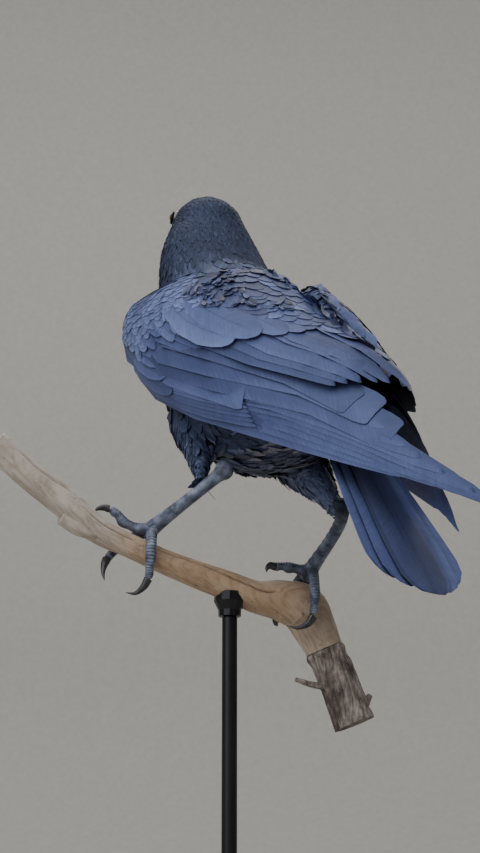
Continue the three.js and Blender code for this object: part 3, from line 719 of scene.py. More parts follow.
def on_wing(fold, side, x, t, out=0.0, inner=False):
    """World places on a folded wing: x mm along the trunk, t from its top edge (0) to its bottom one (1)."""
    x, t, out = (value.ravel() for value in np.broadcast_arrays(*(np.asarray(v, float) for v in (x, t, out))))
    top_left, top_up, low_left, low_up, bulge, thick = smooth_rows(fold, x).T
    edge_left, edge_up = low_left - top_left, low_up - top_up
    run = np.hypot(edge_left, edge_up)
    edge_left, edge_up = edge_left / run, edge_up / run
    rounding = 1 - np.clip(np.abs(2 * t - 1), 0, 1) ** 4 * 0.5
    height = (thick / 2) * rounding + out + bulge * 4 * t * (1 - t)
    if inner:
        height = bulge * 3.2 * t * (1 - t) - thick / 2 - out
    across = top_left + edge_left * t * run - edge_up * height
    up = top_up + edge_up * t * run + edge_left * height
    begin, shift, drop, seat = RIGHT_UNDER
    under = np.clip((begin - x) / (begin - WING_END), 0, 1) if side < 0 else 0
    seat = seat if side < 0 else 0
    return from_body(np.stack([x, side * (across + shift * under), up - seat - drop * under], 1))


def wing_core(fold, end, side):
    """The solid inside of a folded wing, set in from its surface, back to an end."""
    places = np.linspace(fold[-1][0] - 3, end, CORE_RINGS)
    bow = np.linspace(0.04, 0.96, CORE_LINES)
    rings = []
    for x in places:
        outer = on_wing(fold, side, x, bow, -CORE_INSET)
        inner = on_wing(fold, side, x, bow[::-1], -CORE_INSET + 0.4, inner=True)
        rings.append(np.vstack([outer, inner]))
    return turned_out(np.vstack(rings), tube_faces(len(rings), len(rings[0])))


horny = Finish("leg_skin", (0.05, 0.053, 0.065), Roughness=0.5)
skin_place = horny.place()
scurf = horny.noise(skin_place, 900, 5, 0.6)
cloud = horny.noise(skin_place, 130, 4, 0.5)
plates = horny.node("TexVoronoi", {"Vector": skin_place, "Scale": 950.0}, feature="DISTANCE_TO_EDGE")
slate = horny.ramp(cloud, (0.36, 0.05, 0.06, 0.09), (0.52, 0.125, 0.147, 0.215), (0.7, 0.27, 0.3, 0.385))
seams = horny.ramp(plates.outputs[0], (0.0, 0.35, 0.35, 0.38), (0.16, 1, 1, 1))
slate = horny.blend(0.6, slate, seams, "MULTIPLY")
# Painted shade: darker in the hollows between the plates; paler on their sharp edges.
worn = horny.ramp(horny.edges(), (0.44, 0.4, 0.4, 0.42), (0.5, 1, 1, 1), (0.58, 1.7, 1.65, 1.6))
bare, plate_seams, _ = horny.marks("bare")
down = horny.ramp(scurf, (0.3, 0.006, 0.007, 0.011), (0.7, 0.014, 0.016, 0.024))
scaled = horny.blend(horny.math("MULTIPLY", plate_seams, 0.7), horny.blend(0.9, slate, worn, "MULTIPLY"),
                     (0.022, 0.023, 0.028))
# Where the bare mark is low the skin takes the dark feathered colour: on the right leg that is painted shade.
horny.wear("Base Color", horny.blend(bare, down, scaled))
horny.wear("Specular IOR Level", horny.math("MULTIPLY", bare, 0.45))
horny.wear("Roughness", horny.ramp(scurf, (0.3, 0.62, 0.62, 0.62), (0.7, 0.4, 0.4, 0.4)))
horny.bump(plates.outputs[0], 0.0002, 0.5, horny.bump(scurf, 0.00015, 0.5))

bill_base_cut = from_head([50, 0, 0])
bill_ahead = from_head([1, 0, 0]) - from_head([0, 0, 0])
flesh = [cad_mesh(node) for node in ("trunk", "neck", "head", "thigh_left", "thigh_right")]
for node in ("bill_upper", "bill_lower"):
    flesh.append(trimmed(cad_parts[node].data, bill_base_cut, bill_ahead))
for side in (1, -1):  # a round bulge of flesh fills each eye's socket
    socket = spun([(0.0001, -0.0058), (0.0041, -0.0041), (0.0058, 0), (0.0041, 0.0041), (0.0001, 0.0058)], 16)
    flesh.append((socket[0] + from_head([14, side * 22.5, 11]), socket[1]))
outline_form = fused("outline_form", flesh, SKIN_VOXEL, SKIN_SMOOTHING, horny.material)
outline_points, outline_out = points_of(outline_form.data), points_of(outline_form.data, "normal")
depth = np.interp(on_spine(outline_points)[0], *np.transpose(COAT_DEPTH)) * MM
flesh_points = outline_points - outline_out * depth[:, None]
flesh_faces = faces_of(outline_form.data)
bpy.data.objects.remove(outline_form)

# [share of its length, radius in mm] of the shank and of each toe
TARSUS = [(0, 5), (0.08, 6.8), (0.2, 6.8), (0.32, 5.2), (0.65, 4.6), (0.88, 5.2), (1, 6.2)]
TOE = [(0, 4.9), (0.3, 4.1), (0.55, 4.3), (0.8, 3.5), (1, 3.3)]
KNUCKLE_RADIUS = 6.4
# Places round the branch: [along it to the bird's left, degrees ahead of its top, height off it]
LEGS = {
    "left": {
        "share": 0.333, "knuckle": (6, -4, 10.5), "shin": [(-25, 46, -104), (-20, 59, -117)],
        "hallux": [(6, -24, 8), (5, -62, 5.8), (2, -100, 5), (-2, -140, 6), (-5, -162, 9)],
        "inner": [(3, 18, 8), (-3, 50, 5.6), (-6, 88, 5), (-8, 118, 5.2)],
        "middle": [(9, 16, 8), (16, 46, 5.8), (22, 80, 5), (26, 115, 5), (28, 140, 6)],
        "outer": [(10, -2, 8.5), (19, 4, 6.4), (29, 5, 7.4), (36, 6, 11.4), (42, 6, 12.6)],
    },
    "right": {
        "share": 0.66, "knuckle": (-15, 2, 10.5), "shin": [(-60, -36, -128), (-54, -40, -141)],
        "hallux": [(-14, -20, 10), (-13.5, -46, 6.8), (-14, -74, 5.6), (-15, -100, 5.8), (-16, -116, 7)],
        "inner": [(-11, -4, 10.5), (-3, -6, 9.6), (7, -9, 8.6), (16, -11, 6.6)],
        "middle": [(-13, 20, 10), (-9, 46, 6.4), (-5, 72, 5), (-2, 98, 5.2)],
        "outer": [(-19, 18, 9.5), (-22, 48, 6.8), (-23, 76, 6), (-22, 98, 6.4)],
    },
}
TOES = ("hallux", "inner", "middle", "outer")
LEG_VOXEL, LEG_SMOOTHING = 0.0006, 4
SCUTE_SPACING = {"shank": 4.6, "toe": 2.1}  # mm from one plate to the next
SCUTE_STEP, PAD_BULGE, PAD_LENGTH = 0.75, 1.1, 11  # mm
HEEL_FROM, HEEL_FADE = 0.311, 0.008  # metres up: where the right shank goes into the thigh's shade


def round_branch(share, places):
    """World millimetres of places given round the branch from a foot."""
    middle, radius, along, top, front = (value[0] for value in branch_frame(np.array([share])))
    sideways, degrees, height = np.transpose(np.atleast_2d(np.asarray(places, float)))
    turn = np.radians(degrees)[:, None]
    reach = (radius + height)[:, None]
    return middle + sideways[:, None] * along + reach * (np.cos(turn) * top + np.sin(turn) * front)


def limb(path, radii, rings, sides=28, squeeze=1.0):
    """Points and faces of a limb along a path in mm, its section squeezed from side to side."""
    shares = np.linspace(0, 1, rings)
    middle, out = around_path(path, shares, sides, (1.0, 0.05, 0.02), squeeze)
    reach = smooth_rows(radii, shares)[:, 0]
    points = ((middle + reach[:, None, None] * out) * MM).reshape(-1, 3)
    return points, tube_faces(rings, sides)


def ball(middle, radius, sides=20):
    turns = np.linspace(-math.pi / 2, math.pi / 2, sides // 2 + 1)
    profile = [(max(radius * math.cos(a), 1e-4), radius * math.sin(a)) for a in turns]
    points, faces = spun(profile, sides)
    return (points + middle) * MM, faces


def leg_of(side):
    """One leg's shank and toes: their tubes, and for their plates each one's line, radii and upper side."""
    leg = LEGS[side]
    knuckle = round_branch(leg["share"], leg["knuckle"])
    shin = level_way(leg["shin"]) + BODY_AT / MM
    lines = [("shank", np.vstack([shin, knuckle]), TARSUS)]
    lines += [("toe", round_branch(leg["share"], leg[toe]), TOE) for toe in TOES]
    forms, guides = [ball(knuckle[0], KNUCKLE_RADIUS)], []
    for kind, path, radii in lines:
        squeeze = 1.12 if kind == "shank" else 0.94
        forms.append(limb(path, radii, 60 if kind == "shank" else 40, squeeze=squeeze))
        shares = np.linspace(0, 1, 70)
        track = smooth_path(path, shares)
        length = run_along(track)[-1]
        heading = unit(np.gradient(track, axis=0))
        if kind == "toe":
            upper = track - branch_line[nearest_of(branch_finder, track)]
        else:
            upper = np.tile(level_way([1, 0, 0.1]), (len(track), 1))
        upper = square_to(heading, upper)
        guides.append((kind, track, smooth_rows(radii, shares)[:, 0], length, heading, upper))
    return forms, guides


def with_plates(points, outward, guides):
    """Skin points in metres moved out to overlapping plates on the upper side and to soft pads below."""
    finder = finder_of(np.concatenate([guide[1] for guide in guides]))
    thickness = np.concatenate([guide[2] for guide in guides])
    owners = [(g, i) for g, guide in enumerate(guides) for i in range(len(guide[1]))]
    raised, seams = points.copy(), np.zeros(len(points))
    for n, point in enumerate(points):
        place = point / MM
        near = [(distance - thickness[k], k) for _, k, distance in finder.find_n(Vector(place), 3)]
        g, i = owners[min(near)[1]]
        kind, track, _, length, heading, upper = guides[g]
        off = place - track[i]
        run = i / (len(track) - 1) * length + off @ heading[i]
        off = off - (off @ heading[i]) * heading[i]
        facing = (off @ upper[i]) / max(np.linalg.norm(off), 1e-6)
        period = SCUTE_SPACING[kind]
        phase = (run / period) % 1
        plate = min(phase / 0.85, (1 - phase) / 0.15) - 0.5
        on_top = min(max((facing - 0.15) / 0.3, 0), 1)
        pads = 0.5 - 0.5 * math.cos(2 * math.pi * run / PAD_LENGTH)
        below = min(max((-facing - 0.2) / 0.4, 0), 1) if kind == "toe" else 0
        grain = 0.5 * math.sin(run * 5.1) * math.sin(9 * math.atan2(facing, 1 - facing) + run)
        rise = SCUTE_STEP * on_top * plate + PAD_BULGE * below * (pads - 0.5) + 0.12 * (1 - on_top) * grain
        raised[n] += outward[n] * rise * MM
        seams[n] = on_top * max(0, 1 - min(phase, 1 - phase) / 0.16)
    return raised, seams


leg_forms, leg_seams = [], []
for side in ("left", "right"):
    forms, guides = leg_of(side)
    leg_form = fused("leg_form", forms, LEG_VOXEL, LEG_SMOOTHING, horny.material)
    leg_points, seams = with_plates(points_of(leg_form.data), points_of(leg_form.data, "normal"), guides)
    leg_seams.append(seams)
    leg_forms.append((leg_points, faces_of(leg_form.data)))
    bpy.data.objects.remove(leg_form)
cores = [wing_core(fold, end, side) for fold, end in CORE_ENDS for side in (1, -1)]


def eye_axes(side):
    """The eye's middle in the skull's frame, and its axes: out of it, ahead along its slit and up."""
    out = unit(np.array([0.22, side * 0.95, 0.12]))
    ahead = square_to(out, np.array([1, 0, 0]))
    return np.array([15, side * 24.2, 11]), out, ahead, np.cross(out, ahead) * side


LID_REACH, LID_RISE = 5.3, 4.1  # mm from the eye's middle: how wide the lids stand open, how far out


def eyelids(side, around=72, tube=12):
    """A wrinkled rim of bare skin round the open eye, the upper lid a little over the lower."""
    middle, out, ahead, up = eye_axes(side)
    turn = round_turn(around)[:, None]
    slit = 1 + 0.07 * np.cos(2 * turn) + 0.03 * np.abs(np.cos(turn)) ** 9
    thick = 0.85 + 0.1 * np.sin(17 * turn) * np.sin(5 * turn) + 0.15 * np.clip(np.sin(turn), 0, 1)
    lean = round_turn(tube)[None]
    reach = LID_REACH * slit + thick * np.cos(lean)
    rise = LID_RISE + 0.5 * np.sin(turn) + thick * np.sin(lean) + 0.15 * np.sin(23 * turn + lean)
    points = middle + (reach * np.cos(turn))[..., None] * ahead + (reach * np.sin(turn))[..., None] * up
    points = points + rise[..., None] * out
    faces = []
    for i in range(around):
        here, beyond = i * tube, (i + 1) % around * tube
        faces += [(here + k, beyond + k, beyond + (k + 1) % tube, here + (k + 1) % tube) for k in range(tube)]
    return turned_out(from_head(points.reshape(-1, 3)), faces)


lids = [eyelids(side) for side in (1, -1)]
skin = new_piece("skin", *together((flesh_points, flesh_faces), *cores, *lids, *leg_forms), horny.material)
# Marks: how bare the skin is, and where the seams between its plates run. Only the legs are bare; the
# right one is painted darker as shade, darkest at its top, painted shadow where it goes among the thigh's
# feathers.
leg_points = np.concatenate([points for points, _ in leg_forms])
at_right_heel = np.clip((leg_points[:, 2] - HEEL_FROM) / HEEL_FADE, 0, 1)
leg_bare_and_shade = np.where(leg_points[:, 0] > 0.0, 1, 0.75 - 0.6 * at_right_heel)
covered_points = np.zeros(len(skin.data.vertices) - len(leg_points))
marked(skin.data, "bare", np.concatenate([covered_points, leg_bare_and_shade]),
       np.concatenate([covered_points, *leg_seams]))
flesh_nodes = [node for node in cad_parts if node.startswith(("wing_", "thigh_", "tarsus_", "toe_"))]
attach(skin, "root")
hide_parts("trunk", "neck", "head", "tail", *flesh_nodes)

# ---- Plumage: how every feather is made. Each vane is a thin closed blade with a raised shaft, its two
# webs bent down a little, and carries where it lies along and across itself for the colour of its barbs.
BLADE_SECTION = np.array(  # [across, ridge, bend] of the six lines that a vane is drawn by
    [(-1, 0, -1), (-0.55, 0.62, -0.3), (0, 1, 0), (0.55, 0.62, -0.3), (1, 0, -1), (0, -0.5, -0.22)]
)
TUFT_PATCH = 0.003  # of the baking map's width
ROOT_SUNK = 0.4  # mm that a body feather's root lies under the skin
ROUND_TIP = [(0, 0.3), (0.12, 0.62), (0.3, 0.88), (0.5, 1), (0.7, 0.97), (0.84, 0.8), (0.94, 0.5), (1, 0.14)]
LANCE_TIP = [(0, 0.4), (0.2, 0.9), (0.4, 1), (0.62, 0.8), (0.82, 0.48), (0.94, 0.22), (1, 0.07)]
SMALL_TIP = [(0, 0.5), (0.3, 1), (0.65, 0.95), (0.88, 0.6), (1, 0.15)]
FRAYED_TIP = [(0, 0.4), (0.25, 0.9), (0.5, 1), (0.7, 0.8), (0.86, 0.5), (1, 0.1)]


def vane_maps(side, width, run, tone, wear, bake, hand=0.5):
    """The marks of vanes (tone, along, across, wear), the map of their barbs, and their baking map."""
    def spread(values):
        return np.broadcast_to(values, width.shape)

    along = spread((run / run[:, -1:])[..., None])
    tone, wear = spread(tone[:, None, None]), spread(wear[:, None, None])
    marks = np.stack([tone, along, spread(0.5 + hand * side), wear], -1)
    barbs = np.stack([width, spread(run[..., None])], -1)
    patch = np.stack([spread(side / 2), along - 0.5], -1) * TUFT_PATCH
    return {"marks": marks, "barbs": barbs, "bake": bake[:, None, None] + patch}


def blades(middles, across, out, left, right, ridge, bend, tone, wear, bake, mirrored=False):
    """Vanes from their shafts (count, rings, 3), axes, half-widths and bends (count, rings), in metres."""
    side, high, low = BLADE_SECTION.T
    width = np.where(side < 0, left[..., None], right[..., None]) * side
    lift = ridge[..., None] * high + bend[..., None] * low
    points = middles[:, :, None] + across[:, :, None] * width[..., None] + out[:, :, None] * lift[..., None]
    hand = np.where(np.broadcast_to(mirrored, (len(left),)), -0.5, 0.5)[:, None, None]
    return {"points": points, **vane_maps(side, width, run_along(middles), tone, wear, bake, hand)}


def outward(group):
    """A group of vanes with their faces turned outwards."""
    ring, ahead = group["points"][:, 1], (group["points"][:, 2] - group["points"][:, 1]).mean(1)
    arm = ring - ring.mean(1, keepdims=True)
    if (np.cross(arm, np.roll(arm, -1, 1)).sum(1) * ahead).sum() > 0:
        return group
    return {key: values[:, :, ::-1] for key, values in group.items()}


def feathered(name, groups, finish):
    """One coat piece out of groups of vanes."""
    groups = [outward(group) for group in groups]
    corners, starts, offset, loops = [], [], 0, 0
    for group in groups:
        count, rings, lines = group["points"].shape[:3]
        ring, line = np.meshgrid(np.arange(rings - 1), np.arange(lines), indexing="ij")
        next_line = (line + 1) % lines
        quads = np.stack([ring * lines + line, ring * lines + next_line, (ring + 1) * lines + next_line,
                          (ring + 1) * lines + line], -1).reshape(-1)
        ends = np.concatenate([np.arange(lines)[::-1], (rings - 1) * lines + np.arange(lines)])
        pattern = np.concatenate([quads, ends])
        sizes = np.concatenate([np.full(len(quads) // 4, 4), [lines, lines]])
        firsts = offset + np.arange(count) * rings * lines
        corners.append((firsts[:, None] + pattern).ravel())
        starts.append((loops + np.arange(count)[:, None] * len(pattern)
                       + np.concatenate([[0], np.cumsum(sizes)[:-1]])).ravel())
        loops += count * len(pattern)
        offset += count * rings * lines
    corners, starts = np.concatenate(corners), np.concatenate(starts)

    def gathered(key):
        return np.concatenate([group[key].reshape(-1, group[key].shape[-1]) for group in groups])

    mesh = bpy.data.meshes.new(name)
    mesh.vertices.add(offset)
    mesh.vertices.foreach_set("co", gathered("points").ravel())
    mesh.loops.add(loops)
    mesh.loops.foreach_set("vertex_index", corners.astype(np.int32))
    mesh.polygons.add(len(starts))
    mesh.polygons.foreach_set("loop_start", starts.astype(np.int32))
    mesh.polygons.foreach_set("use_smooth", np.ones(len(starts), bool))
    mesh.update(calc_edges=True)
    mesh.set_sharp_from_angle(angle=math.radians(70))
    for key, values in (("OFBake", gathered("bake")), ("barbs", gathered("barbs"))):
        mesh.uv_layers.new(name=key).data.foreach_set("uv", values[corners].ravel())
    marked(mesh, "vane", *gathered("marks").T)
    mesh.materials.append(finish.material)
    made = bpy.data.objects.new(name, mesh)
    bpy.context.scene.collection.objects.link(made)
    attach(made, "root")
    return made


def sheen(name, deep, lit, pale, rough, streak, root_shading, shade=0.0):
    """A finish for vanes: barbs at a slant, a darker shaft line, paler tips, and a blue gloss. From 0 to 1:
    streak, how much the tone varies from barb to barb; root_shading, how much painted shade darkens the roots
    where feathers lie over them; shade, how much painted shadow darkens the upper web."""
    made = Finish(name, lit, Roughness=rough, Specular_IOR_Level=0.3, Specular_Tint=(0.5, 0.64, 1, 1))
    marks = made.node("Attribute", attribute_name="vane")
    parts = made.node("SeparateColor", {"Color": marks.outputs["Color"]})
    tone, along, across = (parts.outputs[k] for k in range(3))
    wear = marks.outputs["Alpha"]
    barbs = made.node("UVMap", uv_map="barbs").outputs[0]
    split = made.node("SeparateXYZ", {"Vector": barbs})
    sideways = made.math("MULTIPLY", made.math("ABSOLUTE", split.outputs[0]), 1.1)
    slant = made.math("SUBTRACT", split.outputs[1], sideways)
    inward = made.math("MULTIPLY", split.outputs[0], 0.08)
    rows = made.node("CombineXYZ", {"X": slant, "Y": inward}).outputs[0]
    fine = made.noise(rows, 2600, 2, 0.6)
    coarse = made.noise(rows, 420, 3, 0.6)
    colour = made.ramp(tone, (0.0, *deep), (0.55, *lit), (1.0, *pale))
    colour = made.blend(streak, colour, made.ramp(coarse, (0.34, 0.55, 0.56, 0.6), (0.66, 1.35, 1.32, 1.25)),
                        "MULTIPLY")
    barb_lines = made.ramp(fine, (0.3, 0.72, 0.72, 0.75), (0.7, 1.2, 1.2, 1.18))
    colour = made.blend(0.6, colour, barb_lines, "MULTIPLY")
    shaft = made.ramp(across, (0.0, 1.2, 1.18, 1.15), (0.2, 1, 1, 1), (0.455, 0.92, 0.92, 0.94),
                      (0.5, 0.6, 0.6, 0.64), (0.545, 0.92, 0.92, 0.94), (0.8, 1, 1, 1),
                      (1.0, 1.3, 1.26, 1.22))
    faded = made.ramp(along, (0.8, 0.8, 0.8, 0.8), (0.97, 0, 0, 0))
    colour = made.blend(faded, colour, shaft, "MULTIPLY")
    # Painted shadow: one web darkened towards the edge that the feather above overlaps, the other edge
    # lightened.
    under = made.ramp(across, (0.0, 0.35, 0.36, 0.4), (0.3, 0.62, 0.62, 0.65), (0.62, 1.0, 1.0, 1.0),
                      (1.0, 1.15, 1.14, 1.12))
    colour = made.blend(shade, colour, under, "MULTIPLY")
    # Painted shade: roots darkened where the feathers over them cover them, tips a little lighter.
    painted_root_shade = made.ramp(along, (0.0, 0.4, 0.4, 0.45), (0.5, 0.86, 0.86, 0.88), (0.9, 1.04, 1.04, 1.03),
                       (1, 1.12, 1.1, 1.1))
    colour = made.blend(root_shading, colour, painted_root_shade, "MULTIPLY")
    blotches = made.noise(made.place(), 34, 3, 0.55)
    uneven = made.ramp(blotches, (0.35, 0.75, 0.76, 0.8), (0.65, 1.2, 1.2, 1.18))
    colour = made.blend(0.5, colour, uneven, "MULTIPLY")
    worn = made.ramp(coarse, (0.3, 0.06, 0.055, 0.06), (0.6, 0.19, 0.178, 0.185))
    wear_here = made.math("MULTIPLY", wear, made.math("ADD", 0.35, along))
    made.wear("Base Color", made.blend(wear_here, colour, worn))
    made.bump(fine, 0.00012, 0.35, made.bump(coarse, 0.0002, 0.4))
    return made


skin_finder = finder_of(flesh_points)


def onto_skin(points):
    """Points dropped on the skin, and its outward direction there."""
    near = nearest_of(skin_finder, points)
    out = outline_out[near]
    return points - ((points - flesh_points[near]) * out).sum(1)[:, None] * out, out


def laid(roots, heading, length, width, tip, rise, lift, curl, tone, wear, ragged=0.06):
    """Vanes laid over the skin from their roots along a heading. Millimetres: length, half width, the
    height that the coat builds up to, how far the tips stand off, and how much the webs bend down."""
    count = len(roots)
    shares, shape = np.transpose(tip)
    at, out = onto_skin(roots)
    ahead = square_to(out, heading)
    middles, outs, acrosses = [], [], []
    for k, share in enumerate(shares):
        if k:
            at, out = onto_skin(at + ahead * (share - shares[k - 1]) * length[:, None] * MM)
            ahead = square_to(out, ahead)
        height = -ROOT_SUNK + (rise + ROOT_SUNK) * share**0.75 + lift * share**2.2
        middles.append(at + out * height[:, None] * MM)
        outs.append(out)
        acrosses.append(np.cross(out, ahead))
    middles, outs, acrosses = (np.stack(rows, 1) for rows in (middles, outs, acrosses))
    outs = square_to(unit(np.gradient(middles, axis=1)), outs)
    uneven = 1 + ragged * rng.standard_normal((2, count, len(shares)))
    halves = width[:, None] * shape * uneven * MM
    ridge = np.clip(0.1 * halves.mean(0), 0.00014, 0.0005)
    run, _ = on_spine(roots)
    from_spine = roots - spine_points[np.searchsorted(spine_run, run).clip(0, len(spine_run) - 1)]
    round_body = np.arctan2(from_spine[:, 0], from_spine @ (0, 0.7, 0.7)) / (2 * math.pi)
    bake = np.stack([0.05 + 0.9 * run / spine_run[-1], 0.5 + round_body], 1)
    bend = halves.mean(0) * curl
    return blades(middles, acrosses, outs, halves[0], halves[1], ridge, bend, tone, wear, bake)

# ---- Eyes: dark brown iris round a wide black pupil, under a clear wet cornea that bulges a little. Each
# ball is one smooth form that fills its socket behind the lids.
EYE_RADIUS, CORNEA_RADIUS, CORNEA_BULGE = 6.6, 4.7, 0.5  # mm
EYE_RINGS, EYE_SIDES = 40, 48
wet = Finish("wet_eye", (0.01, 0.006, 0.004), Roughness=0.12,
             Coat_Weight=1.0, Coat_Roughness=0.02, Coat_IOR=1.4)
from_middle, across_iris, up_iris = wet.marks("rim")
round_iris = wet.node("CombineXYZ", {"X": across_iris, "Y": up_iris}).outputs[0]
fibres = wet.node("TexNoise", {"Vector": round_iris, "Scale": 26.0, "Detail": 4.0}).outputs["Fac"]
iris = wet.ramp(fibres, (0.3, 0.016, 0.007, 0.003), (0.55, 0.05, 0.022, 0.009), (0.75, 0.10, 0.048, 0.02))
open_pupil = wet.ramp(from_middle, (0.0, 0, 0, 0), (0.30, 0, 0, 0), (0.33, 1, 1, 1), (0.58, 1, 1, 1),
                      (0.66, 0.1, 0.08, 0.07))
wet.wear("Base Color", wet.blend(1.0, iris, open_pupil, "MULTIPLY"))
for side, name in ((1, "eye_left"), (-1, "eye_right")):
    middle, out, ahead, up = eye_axes(side)
    from_pole = np.linspace(0.004, math.pi - 0.004, EYE_RINGS)
    polar, turn = np.meshgrid(from_pole, round_turn(EYE_SIDES), indexing="ij")
    reach = EYE_RADIUS * np.sin(polar)
    dome = CORNEA_BULGE * np.clip(1 - (reach / CORNEA_RADIUS) ** 2, 0, 1) * (polar < math.pi / 2)
    points = middle + (EYE_RADIUS * np.cos(polar) + dome)[..., None] * out
    points = points + (reach * np.cos(turn))[..., None] * ahead + (reach * np.sin(turn))[..., None] * up
    points, faces = turned_out(points.reshape(-1, 3), tube_faces(EYE_RINGS, EYE_SIDES))
    eye = new_piece(name.replace("eye", "eyeball"), from_head(points), faces, wet.material)
    shares = np.where(polar < math.pi / 2, reach / EYE_RADIUS, 1.0)
    marked(eye.data, "rim", shares, 0.5 + 0.5 * np.cos(turn), 0.5 + 0.5 * np.sin(turn))
    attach(eye, "root")
    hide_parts(name)

# ---- Bill: two horn sheaths, the upper deep and arched with a ridge and a small hook over the lower,
# both worn paler along their cutting edges.
# [mm ahead of the skull's middle, half-width, top, bottom]
UPPER_SHEATH = [(36, 10, 12.5, -1.5), (50, 12, 15.4, -2), (66, 10.8, 15.2, -2.6), (82, 8.4, 12.6, -3.4),
                (96, 5.6, 7.4, -4.4), (105, 3, 1.6, -6), (110, 1.5, -4, -8.6), (112, 0.5, -7.4, -9.6)]
LOWER_SHEATH = [(36, 9.4, -2.1, -14), (50, 11, -2.6, -16.4), (66, 9.4, -3.2, -15.4), (82, 6.8, -4, -13),
                (95, 4.2, -4.9, -10.8), (103, 1.8, -6.4, -9.4), (105, 0.7, -6.9, -8.6)]
SHEATH_START, SHEATH_LENGTH = 36, 76  # mm
NOSTRIL = (60, 0.62, 6.0, 1.5)  # mm ahead, radians up from the side, its length and depth
BILL_RINGS, BILL_SIDES = 90, 56
horn = Finish("bill_horn", (0.012, 0.012, 0.014), Roughness=0.3, Specular_IOR_Level=0.5)
along_horn, round_horn, cutting_edge = horn.marks("horn")
drawn_out = horn.math("MULTIPLY", along_horn, 0.25)
growth = horn.noise(horn.node("CombineXYZ", {"X": drawn_out, "Y": round_horn}).outputs[0], 60, 4)
scratches = horn.noise(horn.place(), 700, 5)
dark_horn = horn.ramp(growth, (0.3, 0.006, 0.006, 0.008), (0.6, 0.016, 0.017, 0.02),
                      (0.8, 0.035, 0.035, 0.038))
edge_wear = horn.math("MULTIPLY", cutting_edge, horn.ramp(scratches, (0.35, 0, 0, 0), (0.65, 1, 1, 1)))
horn.wear("Base Color", horn.blend(edge_wear, dark_horn, (0.09, 0.082, 0.075)))
horn.wear("Roughness", horn.ramp(scratches, (0.3, 0.24, 0.24, 0.24), (0.7, 0.42, 0.42, 0.42)))
horn.bump(growth, 0.0002, 0.35, horn.bump(scratches, 0.00005, 0.4))
for name, sheath, cutting in (("bill_upper", UPPER_SHEATH, -1), ("bill_lower", LOWER_SHEATH, 1)):
    ahead = sheath[0][0] + (sheath[-1][0] - sheath[0][0]) * np.linspace(0, 1, BILL_RINGS) ** 0.85
    half, top, bottom = (column[:, None] for column in smooth_rows(sheath, ahead).T)
    turn = round_turn(BILL_SIDES)[None]
    sin, cos = np.sin(turn), np.cos(turn)
    blunt = np.where(np.sign(sin) == cutting, 6.0, 1.85 if cutting < 0 else 2.0)
    across = half * np.sign(cos) * np.abs(cos) ** (2 / blunt)
    height = (top + bottom) / 2 + (top - bottom) / 2 * np.sign(sin) * np.abs(sin) ** (2 / blunt)
    edge = np.exp(-(((np.arcsin(np.clip(sin * cutting, -1, 1)) - 0.25) / 0.3) ** 2))
    across = across * (1 + 0.035 * edge)
    if cutting < 0:
        place, lean, length, sunk = NOSTRIL
        upwards = np.arcsin(np.clip(sin, -1, 1))
        pit = np.exp(-(((ahead[:, None] - place) / length) ** 2) - ((upwards - lean) / 0.22) ** 2)
        across = across - np.sign(cos) * sunk * pit * (half > 6)
    forward, turn = np.broadcast_arrays(ahead[:, None], turn)
    rows = np.stack([forward, across, height], -1).reshape(-1, 3)
    rows, faces = turned_out(rows, tube_faces(BILL_RINGS, BILL_SIDES))
    sheath_piece = new_piece(name.replace("bill", "sheath"), from_head(rows), faces, horn.material)
    share = (forward - SHEATH_START) / SHEATH_LENGTH
    marked(sheath_piece.data, "horn", share, turn / (2 * np.pi), edge * share)
    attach(sheath_piece, "root")
    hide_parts(name)

# ---- Claws: curved, pointed horn, deeper than wide, dull grey-black. Each grows on from its toe's tip, and
# they are placed round the branch as the toes are.
NAILS = {
    "left": {
        "hallux": [(-5.4, -165, 10.5), (-4.6, -174, 17), (-1, -181, 23), (6, -186, 25)],
        "inner": [(-8, 122, 5.4), (-8, 138, 6), (-7, 152, 4.6), (-7, 160, 2.6)],
        "middle": [(28.6, 144, 7), (29, 158, 11), (28, 168, 17), (25, 174, 23)],
        "outer": [(43, 6, 12.5), (47, 6, 11.6), (51, 6, 8.6), (53, 6, 5)],
    },
    "right": {
        "hallux": [(-16, -119, 8), (-13, -132, 10.5), (-7, -144, 10.5), (1, -151, 7.5)],
        "inner": [(16.8, -11.4, 6.4), (21, -14, 6), (23.6, -19, 3.2), (23.6, -24, 0.2)],
        "middle": [(-1.5, 102, 5.6), (-1, 114, 7.4), (-1, 126, 6.4), (-1, 134, 4)],
        "outer": [(-21.5, 102, 6.6), (-20.5, 113, 7.8), (-19.5, 124, 6.6), (-19, 131, 4.2)],
    },
}
NAIL = [(0, 3.1), (0.25, 2.75), (0.5, 2.0), (0.75, 1.2), (0.92, 0.55), (1, 0.18)]
nail_horn = Finish("claw_horn", (0.03, 0.03, 0.032), Roughness=0.36)
nail_streaks = nail_horn.noise(nail_horn.place(), 520, 5, 0.6, (1, 1, 0.35))
streaked = nail_horn.ramp(nail_streaks, (0.3, 0.013, 0.013, 0.015), (0.55, 0.03, 0.03, 0.033),
                          (0.75, 0.085, 0.083, 0.084))
nail_horn.wear("Base Color", streaked)
nail_horn.wear("Roughness", nail_horn.ramp(nail_streaks, (0.3, 0.28, 0.28, 0.28), (0.7, 0.5, 0.5, 0.5)))
nail_horn.bump(nail_streaks, 0.0001, 0.5)
for side, nails in NAILS.items():
    forms = [limb(round_branch(LEGS[side]["share"], path), NAIL, 36, 20, 1.15) for path in nails.values()]
    claws = new_piece(f"claws_{side}", *together(*forms), nail_horn.material)
    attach(claws, "root")
    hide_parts(*(f"claw_{side}_{toe}" for toe in nails))

